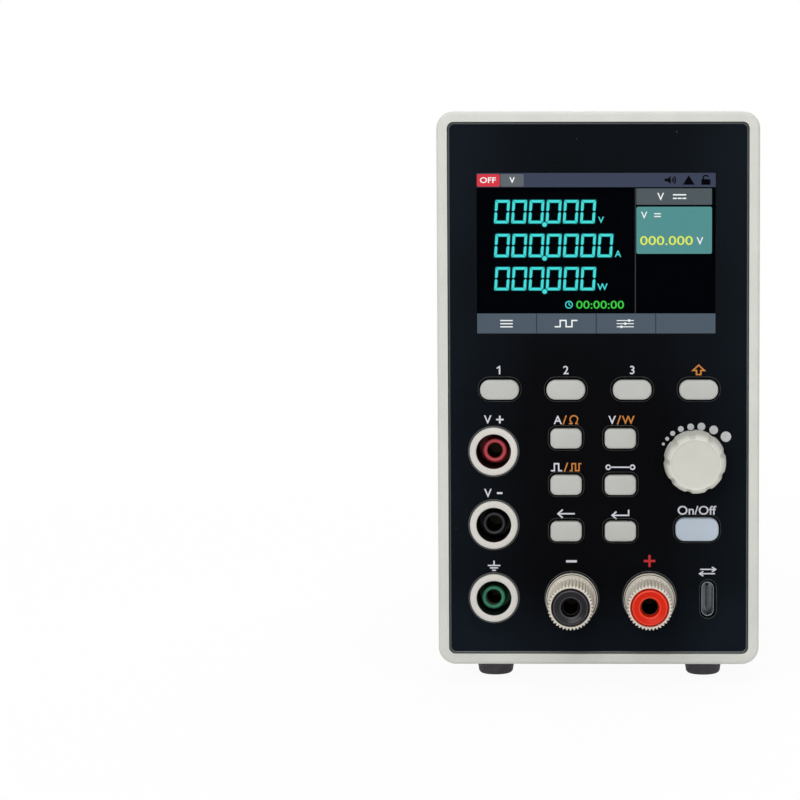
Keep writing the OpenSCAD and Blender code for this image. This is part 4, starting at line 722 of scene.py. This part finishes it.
screenLook = {
    "colours": {
        "cyan": (72, 222, 220), "cyanGlow": (6, 46, 50), "bar": (64, 70, 90), "red": (216, 60, 70),
        "grey": (98, 104, 108), "head": (82, 92, 96), "teal": (86, 146, 146), "foot": (80, 92, 103),
        "white": (244, 248, 250), "yellow": (226, 240, 90), "green": (70, 214, 74),
        "greenGlow": (10, 56, 16), "line": (62, 62, 64), "black": (2, 3, 5), "mark": (7, 8, 11),
        "footLine": (52, 60, 72),
    },
    "aside": -0.1,  # of the window's middle
    "layer": 0.02, "thick": 0.9, "discSteps": 40,  # thick is a share of a layer
    # the black print round the picture, over the gap between window and panel
    "border": {"open": (60.9, 41.1), "openRadius": 0.2, "reach": 0.5, "radius": 1.2, "film": 0.015},
    "digit": {"width": 3.72, "height": 5.94, "stroke": 0.68, "lean": 0.068, "gap": 0.1, "notch": (0.32, 0.2),
              "glow": 0.22, "first": -23.95, "pitch": 4.38},
    "point": {"x": -13.13, "under": 3.27, "radius": 0.6, "glow": 0.82},
    # height of a row's middle, its digits, its unit, and the unit's place and height
    "rows": [(10.59, 6, "V", 1.23, 1.62), (1.99, 7, "A", 5.55, 1.66), (-6.45, 6, "W", 1.57, 1.75)],
    "unit": {"under": 2.1, "weight": 0.012},
    # flat parts in the order of their making: how Print draws one, its finish, and what that way takes
    "above": [
        ("box", "black", 0, 0, 60.75, 40.8),
        ("box", "bar", 0, 18.6, 60.75, 3.6, 2),
        ("box", "red", -27.41, 18.55, 5.78, 3.15, 3, 0.35),
        ("box", "grey", -21.35, 18.55, 5.9, 3.15, 3, 0.35),
        ("type", "white", "OFF", -27.5, 18.6, 1.48, 4, 0.016, 4.1),
        ("type", "white", "V", -21.35, 18.6, 1.5, 4, 0.024),
        ("face", "mark", [(17.4, 18.25), (18.1, 18.25), (18.95, 17.6), (18.95, 19.6), (18.1, 18.95),
                          (17.4, 18.95)], 3),
        *[("stroke", "mark", arcOf(18.95, 18.6, reach, -48, 48), 0.27, 3) for reach in (0.45, 0.85, 1.25)],
        ("face", "mark", [(22.0, 17.4), (25.05, 17.4), (23.52, 19.8)], 3),
        ("box", "mark", 27.88, 18.1, 2.3, 1.45, 3, 0.15),
        ("stroke", "mark", [(27.2, 18.7), (27.2, 19.35), (27.5, 19.7), (28.2, 19.7), (28.5, 19.4)], 0.34, 3),
        ("box", "foot", 0, -17.86, 60.75, 5.08, 2),
        *[("box", "footLine", x, -17.86, 0.26, 5.0, 3) for x in (-15.23, -0.01, 15.15)],
        ("box", "line", 9.97, 0.72, 0.22, 31.9, 2),
        ("box", "head", 19.83, 14.4, 19.2, 4.15, 2, 0.2),
        ("box", "teal", 19.84, 5.85, 19.2, 11.95, 2, 0.45),
        ("type", "white", "V", 16.4, 14.4, 1.9, 3, 0.01),
        ("box", "white", 21.2, 14.85, 3.4, 0.34, 3),
        *[("box", "white", x, 13.95, 1.0, 0.34, 3) for x in (20.0, 21.2, 22.4)],
        ("type", "white", "V", 12.2, 9.69, 1.75, 3, 0.01),
        *[("box", "white", 15.6, z, 1.7, 0.28, 3) for z in (10.05, 9.35)],
        ("type", "yellow", "000.000", 17.88, 3.24, 2.3, 3, 0.006, 13.4),
        ("type", "white", "V", 26.38, 3.15, 1.9, 3, 0.008),
    ],
    # a clock and its time, then a menu, a wave and sliders over the three keys
    "below": [
        ("disc", "cyan", -6.95, -13.09, 0.98, 3, 0.74),
        ("stroke", "cyan", [(-6.95, -12.5), (-6.95, -13.09), (-6.5, -13.35)], 0.22, 3),
        ("type", "greenGlow", "00:00:00", 0.98, -13.09, 2.3, 2, 0.045, 12.5),
        ("type", "green", "00:00:00", 0.98, -13.09, 2.0, 3, 0, 12.13),
        *[("box", "white", x + i * step, -17.92 + i * 0.8, width, height, layer) for i in (-1, 0, 1)
          for x, step, width, height, layer in ((-22.9, 0, 3.2, 0.3, 3), (7.4, 0, 4.4, 0.22, 3),
                                                (7.4, 1.0, 0.5, 0.62, 4))],
        ("stroke", "white", [(-10.6, -18.7), (-9.2, -18.7), (-9.2, -17.1), (-7.7, -17.1), (-7.7, -18.7),
                             (-6.2, -18.7), (-6.2, -17.1), (-4.8, -17.1)], 0.34, 3),
    ],
}


class Print:
    # flat shapes raised a hair off a face, each in its own finish; drawn in mm from a place on that face
    def __init__(self, name, x=0, z=0, out=0, place=onPanel):
        self.name, self.x, self.z, self.out, self.place = name, x, z, out, place
        self.bm = bmesh.new()
        self.finishes = []

    def point(self, x, z, layer):
        return self.bm.verts.new(self.place(self.x + x, self.z + z, self.out + layer * screenLook["layer"]))

    def face(self, finish, points, layer=1, holes=()):
        if finish not in self.finishes:
            self.finishes.append(finish)
        outer = [self.point(px, pz, layer) for px, pz in points]
        if holes:  # an outline with a like outline inside it
            inner = [self.point(px, pz, layer) for px, pz in holes]
            made = []
            for i in range(len(outer)):
                j = (i + 1) % len(outer)
                made.append(self.bm.faces.new((outer[i], outer[j], inner[j], inner[i])))
        else:
            made = [self.bm.faces.new(outer)]
        self.raised(made, finish)

    def raised(self, made, finish):  # gives flat faces their finish and a hair of thickness
        for face in made:
            face.material_index = self.finishes.index(finish)
        sunk = bmesh.ops.extrude_face_region(self.bm, geom=made)
        verts = [part for part in sunk["geom"] if isinstance(part, bmesh.types.BMVert)]
        for face in {f for vert in verts for f in vert.link_faces}:
            face.material_index = self.finishes.index(finish)
        back = self.place(0, 0, -screenLook["layer"] * screenLook["thick"]) - self.place(0, 0, 0)
        for vert in verts:
            vert.co += back

    def box(self, finish, x, z, width, height, layer=1, radius=0.0):
        outline = roundedOutline(width, height, radius, 4 if radius else 1)
        self.face(finish, [(x + px, z + pz) for px, pz in outline], layer)

    def disc(self, finish, x, z, radius, layer=1, inner=0.0):  # a ring where inner is given
        steps = screenLook["discSteps"]
        ring = [(math.cos(2 * math.pi * i / steps), math.sin(2 * math.pi * i / steps)) for i in range(steps)]
        self.face(finish, [(x + radius * c, z + radius * s) for c, s in ring], layer,
                  [(x + inner * c, z + inner * s) for c, s in ring] if inner else ())

    # a line of even width with mitred corners
    def stroke(self, finish, points, width, layer=1, closed=False):
        points = [Vector(p) for p in points]
        last = len(points) - 1
        left, right = [], []
        for i, p in enumerate(points):
            before = (p - points[i - 1]).normalized() if i or closed else None
            after = (points[(i + 1) % (last + 1)] - p).normalized() if i < last or closed else None
            one, two = before or after, after or before
            normal = Vector((-one.y, one.x)) + Vector((-two.y, two.x))
            normal = normal / normal.length_squared * width
            left.append(p + normal)
            right.append(p - normal)
        if closed:
            self.face(finish, left, layer, right)
        else:
            self.face(finish, left + right[::-1], layer)

    # a plain type, scaled to a height of capital letters; weight thickens the strokes
    def type(self, finish, words, x, z, height, layer=1, weight=0.0, width=None):
        if finish not in self.finishes:
            self.finishes.append(finish)
        curve = bpy.data.curves.new("type", "FONT")
        curve.body, curve.offset, curve.resolution_u = words, weight, 4
        shape = bpy.data.objects.new("type", curve)
        bpy.context.scene.collection.objects.link(shape)
        mesh = bpy.data.meshes.new_from_object(shape)
        low = [min(v.co[i] for v in mesh.vertices) for i in (0, 1)]
        high = [max(v.co[i] for v in mesh.vertices) for i in (0, 1)]
        rise = height / (high[1] - low[1])
        stretch = width / (high[0] - low[0]) if width else rise
        middle = [(a + b) / 2 for a, b in zip(low, high)]
        verts = [self.point(x + (v.co[0] - middle[0]) * stretch, z + (v.co[1] - middle[1]) * rise, layer)
                 for v in mesh.vertices]
        made = [self.bm.faces.new([verts[i] for i in face.vertices]) for face in mesh.polygons]
        self.raised(made, finish)
        bpy.data.objects.remove(shape)
        bpy.data.curves.remove(curve)
        bpy.data.meshes.remove(mesh)

    def draw(self, parts):  # rows of a way of drawing, a finish, and what that way takes
        for way, *what in parts:
            getattr(self, way)(*what)

    def done(self, body, own):  # own holds the scene's finishes by their short names
        addPiece(self.name, closedMesh(self.name, self.bm), body, [own[name] for name in self.finishes])


# the strokes of a lit zero, slanted, as outlines; grow makes them wider all round, for the glow
def zeroBars(x, z, grow):
    d = screenLook["digit"]
    w, h, t, gap = d["width"] / 2 + grow, d["height"] / 2 + grow, d["stroke"] + 2 * grow, d["gap"]
    inner, outer = d["notch"]
    bars = []
    for s in (1, -1):  # the flat bars above and below
        bars.append([(-w + gap, s * h), (w - gap, s * h), (w - t, s * (h - t)), (-w + t, s * (h - t))])
    for sx in (1, -1):
        for s in (1, -1):  # the upright bars, each with a notched end at the middle
            bars.append([(sx * w, s * (h - gap)), (sx * (w - t), s * (h - t - gap)),
                         (sx * (w - t), s * (gap + inner)), (sx * (w - t / 2), s * gap),
                         (sx * w, s * (gap + outer))])
    return [[(x + px + pz * d["lean"], z + pz) for px, pz in bar] for bar in bars]


windowX, windowZ = middleOf("display_lens")
width, height = sizeOf("display_lens")
border = screenLook["border"]
film = border["film"]
outer = roundedOutline(width + 2 * border["reach"], height + 2 * border["reach"], border["radius"])
inner = roundedOutline(*border["open"], border["openRadius"])
bm = bmesh.new()
skin(bm, [[onPanel(windowX + px, windowZ + pz, out) for px, pz in outline] for outline, out in
          ((outer, -film), (inner, -film), (inner, film), (outer, film))], loop=True)
addPiece("window_border", closedMesh("window_border", bm), "case", ["panel_black"])

lcdOut = -(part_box("lcd_module")[0].y - panelLow.y) / mm
shown = Print("screen_picture", windowX + screenLook["aside"], windowZ, lcdOut)
shown.draw(screenLook["above"])
digit, point, unit = screenLook["digit"], screenLook["point"], screenLook["unit"]
for z, digits, name, unitX, unitHeight in screenLook["rows"]:
    for i in range(digits):
        x = digit["first"] + i * digit["pitch"]
        for finish, grow, layer in (("cyanGlow", digit["glow"], 2), ("cyan", 0, 3)):
            for bar in zeroBars(x, z, grow):
                shown.face(finish, bar, layer)
    shown.disc("cyanGlow", point["x"], z - point["under"], point["glow"], 4)
    shown.disc("cyan", point["x"], z - point["under"], point["radius"], 5)
    shown.type("cyan", name, unitX, z - unit["under"], unitHeight, 3, unit["weight"])
shown.draw(screenLook["below"])
shown.done("case", {name: lit("screen" + name[0].upper() + name[1:], colour)
                    for name, colour in screenLook["colours"].items()})


print("printing on the panel")
letterLook = {"height": 2.15, "weight": 0.012}


def letter(finish, text, x):
    return "type", finish, text, x, 0, letterLook["height"], 1, letterLook["weight"]


slash = [(-0.75, -1.15), (0.05, 1.15)]
printLook = {
    "inks": {"white": (214, 214, 224), "orange": (202, 128, 56), "red": (190, 40, 45),
             "pale": (196, 197, 199)},
    # a node, how far above its middle the sign stands, and the sign's parts, as those of the screen are given
    "signs": [
        ("soft_key_left", 4.9, [letter("white", "1", 0),
                                ("stroke", "white", [(-0.72, 0.42), (0.02, 0.96)], 0.32, 2)]),
        ("soft_key_middle", 4.9, [letter("white", "2", 0)]),
        ("soft_key_right", 4.9, [letter("white", "3", 0)]),
        ("shift_key", 4.85, [
            ("stroke", "orange", [(-0.55, -1.1), (-0.55, -0.05), (-1.45, -0.05), (0, 1.3), (1.45, -0.05),
                                  (0.55, -0.05), (0.55, -1.1)], 0.36, 1, True)]),
        ("current_key", 4.6, [
            letter("white", "A", -2.1),
            ("stroke", "orange", slash, 0.34),
            ("stroke", "orange", [(0.75, -0.93), (1.5, -0.93), *arcOf(2.0, 0.12, 0.98, -56, 236)[::-1],
                                  (2.5, -0.93), (3.25, -0.93)], 0.34)]),
        ("voltage_key", 4.6, [
            letter("white", "V", -2.1),
            ("stroke", "orange", slash, 0.34),
            letter("orange", "W", 2.0)]),
        ("pulse_key", 4.4, [
            ("stroke", "white", [(-3.9, -0.9), (-3.0, -0.9), (-3.0, 0.9), (-1.9, 0.9), (-1.9, -0.9),
                                 (-1.0, -0.9)], 0.36),
            ("stroke", "orange", [(-0.45, -1.15), (0.35, 1.15)], 0.34),
            ("stroke", "orange", [(0.9, -0.9), (1.5, -0.9), (1.5, 0.9), (2.4, 0.9), (2.4, -0.9), (3.3, -0.9),
                                  (3.3, 0.9), (3.9, 0.9)], 0.34)]),
        ("short_key", 4.4, [
            ("stroke", "white", [(-2.6, 0), (2.6, 0)], 0.36),
            *[("disc", "white", x, 0, 0.72, 1, 0.36) for x in (-3.1, 3.1)]]),
        ("back_key", 4.35, [
            ("stroke", "white", [(-1.9, 0), (2.2, 0)], 0.38),
            ("stroke", "white", [(-0.9, 1.05), (-2.1, 0), (-0.9, -1.05)], 0.38, 2)]),
        ("enter_key", 4.35, [
            ("stroke", "white", [(-1.9, -0.4), (2.1, -0.4), (2.1, 1.05)], 0.38),
            ("stroke", "white", [(-1.0, 0.55), (-2.1, -0.4), (-1.0, -1.35)], 0.38, 2)]),
        ("output_key", 4.75, [("type", "white", "On/Off", 0, 0, 2.3, 1, letterLook["weight"], 9.9)]),
        ("sense_plus_core", 8.15, [
            letter("white", "V", -1.5),
            ("box", "white", 1.6, 0, 1.9, 0.44),
            *[("box", "white", 1.6, z, 0.44, 0.78) for z in (0.6, -0.6)]]),
        ("sense_minus_core", 8.15, [letter("white", "V", -1.5), ("box", "white", 1.5, 0, 1.4, 0.5)]),
        ("earth_core", 8.3, [
            ("box", "white", 0, 0.75, 0.36, 1.1),
            *[("box", "white", 0, 0.05 - i * 0.62, width, 0.34) for i, width in enumerate((3.2, 2.1, 1.0))]]),
        ("minus_insert", 9.5, [("box", "white", -0.1, 0, 2.75, 0.6)]),
        ("plus_insert", 9.6, [
            ("box", "red", 0, 0, 3.0, 0.62),
            *[("box", "red", 0, z, 0.62, 1.24) for z in (0.93, -0.93)]]),
        ("usb_receptacle", 7.1, [
            ("stroke", "white", [(-1.9, -0.55), (1.9, -0.55)], 0.32),
            ("stroke", "white", [(-1.1, 0.07), (-2.05, -0.55), (-1.1, -1.17)], 0.32, 2),
            ("stroke", "white", [(-1.9, 0.55), (1.9, 0.55)], 0.32),
            ("stroke", "white", [(1.1, 1.17), (2.05, 0.55), (1.1, -0.07)], 0.32, 2)]),
        # the dots that grow round the knob: place and radius
        ("encoder_shaft", 0, [("disc", "pale", *dot) for dot in (
            (-7.98, 4.2, 0.37), (-7.01, 5.54, 0.5), (-5.61, 6.92, 0.64), (-3.54, 8.05, 0.74),
            (-1.04, 8.56, 0.87), (1.69, 8.64, 1.01), (4.83, 7.8, 1.11), (7.95, 6.08, 1.33))]),
    ],
}
drawn = Print("panel_printing")
for node, rise, parts in printLook["signs"]:
    x, z = middleOf(node)
    drawn.x, drawn.z = x, z + rise
    drawn.draw(parts)
drawn.done("case", {name: ink(name + "Ink", colour) for name, colour in printLook["inks"].items()})
print("  ", len(printLook["signs"]), "signs")


print("marks on the rocker")
rockerMarks = {"ink": (206, 206, 208), "bar": (0.5, 2.4), "ring": (1.25, 0.85), "facing": 0.7}


# the node's largest flats that look along a way: for each, its middle and normal
def flatsOf(node, way, count):
    flats = {}
    for face in cadNodes[node].data.polygons:
        if face.normal.dot(way) > rockerMarks["facing"]:
            flats.setdefault(tuple(round(c, 2) for c in face.normal), []).append(face)
    found = []
    for group in sorted(flats.values(), key=lambda faces: -sum(face.area for face in faces))[:count]:
        area = sum(face.area for face in group)
        middle = sum((face.center * face.area for face in group), Vector()) / area
        found.append((middle, group[0].normal.copy()))
    return sorted(found, key=lambda flat: flat[0].z)


rockerInk = {"white": ink("rockerInk", rockerMarks["ink"])}
flats = flatsOf("power_rocker", Vector((0, 1, 0)), 2)
for name, (middle, normal) in zip(("rocker_ring", "rocker_bar"), flats):
    side = Vector((-1, 0, 0))
    rise = normal.cross(side).normalized()
    marks = Print(name, place=lambda x, z, out: middle + (side * x + rise * z + normal * out) * mm)
    if name == "rocker_bar":
        marks.box("white", 0, 0, *rockerMarks["bar"])
    else:
        marks.disc("white", 0, 0, rockerMarks["ring"][0], inner=rockerMarks["ring"][1])
    marks.done("rocker", rockerInk)


print("floor, lamps and camera")
stageLook = {
    # the floor's half width, its colour, how white it looks to the camera, and where it turns fully white
    "floorReach": 3, "floor": (246, 246, 245), "floorWhite": 0.94, "whiteFrom": 0.25, "whiteTo": 0.7,
    "sky": 0.4,
    # name, place, size and watts; each is aimed at the object's middle
    "lamps": [("key", (-0.35, -1.5, 0.75), 0.9, 8.9), ("fill", (0.52, -1.42, 0.35), 0.9, 1.2),
              ("top", (0.0, -0.2, 1.4), 0.9, 7.3), ("behind", (0.3, 1.3, 1.0), 1.0, 8.0)],
    "camera": {"place": (8.938, -833.349, 130.743), "turn": 0.6905, "dip": 4.2787, "roll": -0.0496,
               "lens": 130.7, "sensor": 36, "near": 0.01, "shift": (-0.2482, -0.01289)},
}
aim = (cadBox[0] + cadBox[1]) / 2
bm = bmesh.new()
bmesh.ops.create_grid(bm, x_segments=1, y_segments=1, size=stageLook["floorReach"])
floorMesh = bpy.data.meshes.new("floor")
bm.to_mesh(floorMesh)
floor = bpy.data.objects.new("floor", floorMesh)
floor.location.z = cadBox[0].z
bpy.context.scene.collection.objects.link(floor)
paper = Finish("paperFloor", {"Base Color": scenic(*stageLook["floor"]), "Roughness": 0.9,
                              "Specular IOR Level": 0.1})
away = paper.node("VectorMath", {"operation": "LENGTH"}, {0: paper.place()}, "Value")
away = ((away - stageLook["whiteFrom"]) * (1 / (stageLook["whiteTo"] - stageLook["whiteFrom"]))).held()
share = paper.seen() * (stageLook["floorWhite"] + away * (1 - stageLook["floorWhite"]))
glow = paper.node("Emission", {}, {"Color": (1, 1, 1, 1), "Strength": 1.0})
blend = paper.node("MixShader", {}, {0: share, 1: Wire(paper, paper.shader.outputs[0]), 2: glow})
paper.tree.links.new(blend.socket, paper.output.inputs[0])
floorMesh.materials.append(paper.material)

world = bpy.data.worlds.new("studio")
world.use_nodes = True
bpy.context.scene.world = world
sky = Nodes(world.node_tree)
soft = sky.node("Background", {}, {"Color": (1, 1, 1, 1), "Strength": stageLook["sky"]})
white = sky.node("Background", {}, {"Color": (1, 1, 1, 1), "Strength": 1.0})
shade = sky.node("MixShader", {}, {0: sky.seen(), 1: soft, 2: white})
sky.tree.links.new(shade.socket, sky.tree.nodes.new("ShaderNodeOutputWorld").inputs[0])

for name, place, size, watts in stageLook["lamps"]:
    light = bpy.data.lights.new(name + "Lamp", "AREA")
    light.energy, light.size = watts, size
    lamp = bpy.data.objects.new(name + "Lamp", light)
    lamp.location = place
    lamp.rotation_euler = (aim - lamp.location).to_track_quat("-Z", "Y").to_euler()
    bpy.context.scene.collection.objects.link(lamp)

setting = stageLook["camera"]
optics = bpy.data.cameras.new("camera")
optics.lens, optics.sensor_width, optics.sensor_fit = setting["lens"], setting["sensor"], "HORIZONTAL"
optics.shift_x, optics.shift_y = setting["shift"]
optics.clip_start = setting["near"]
camera = bpy.data.objects.new("camera", optics)
turn = (Matrix.Rotation(math.radians(setting["turn"]), 4, "Z")
        @ Matrix.Rotation(math.radians(90 - setting["dip"]), 4, "X")
        @ Matrix.Rotation(math.radians(setting["roll"]), 4, "Z"))
camera.matrix_world = Matrix.Translation(Vector(setting["place"]) * mm) @ turn
bpy.context.scene.collection.objects.link(camera)
bpy.context.scene.camera = camera
bpy.context.scene.view_settings.view_transform = "Standard"
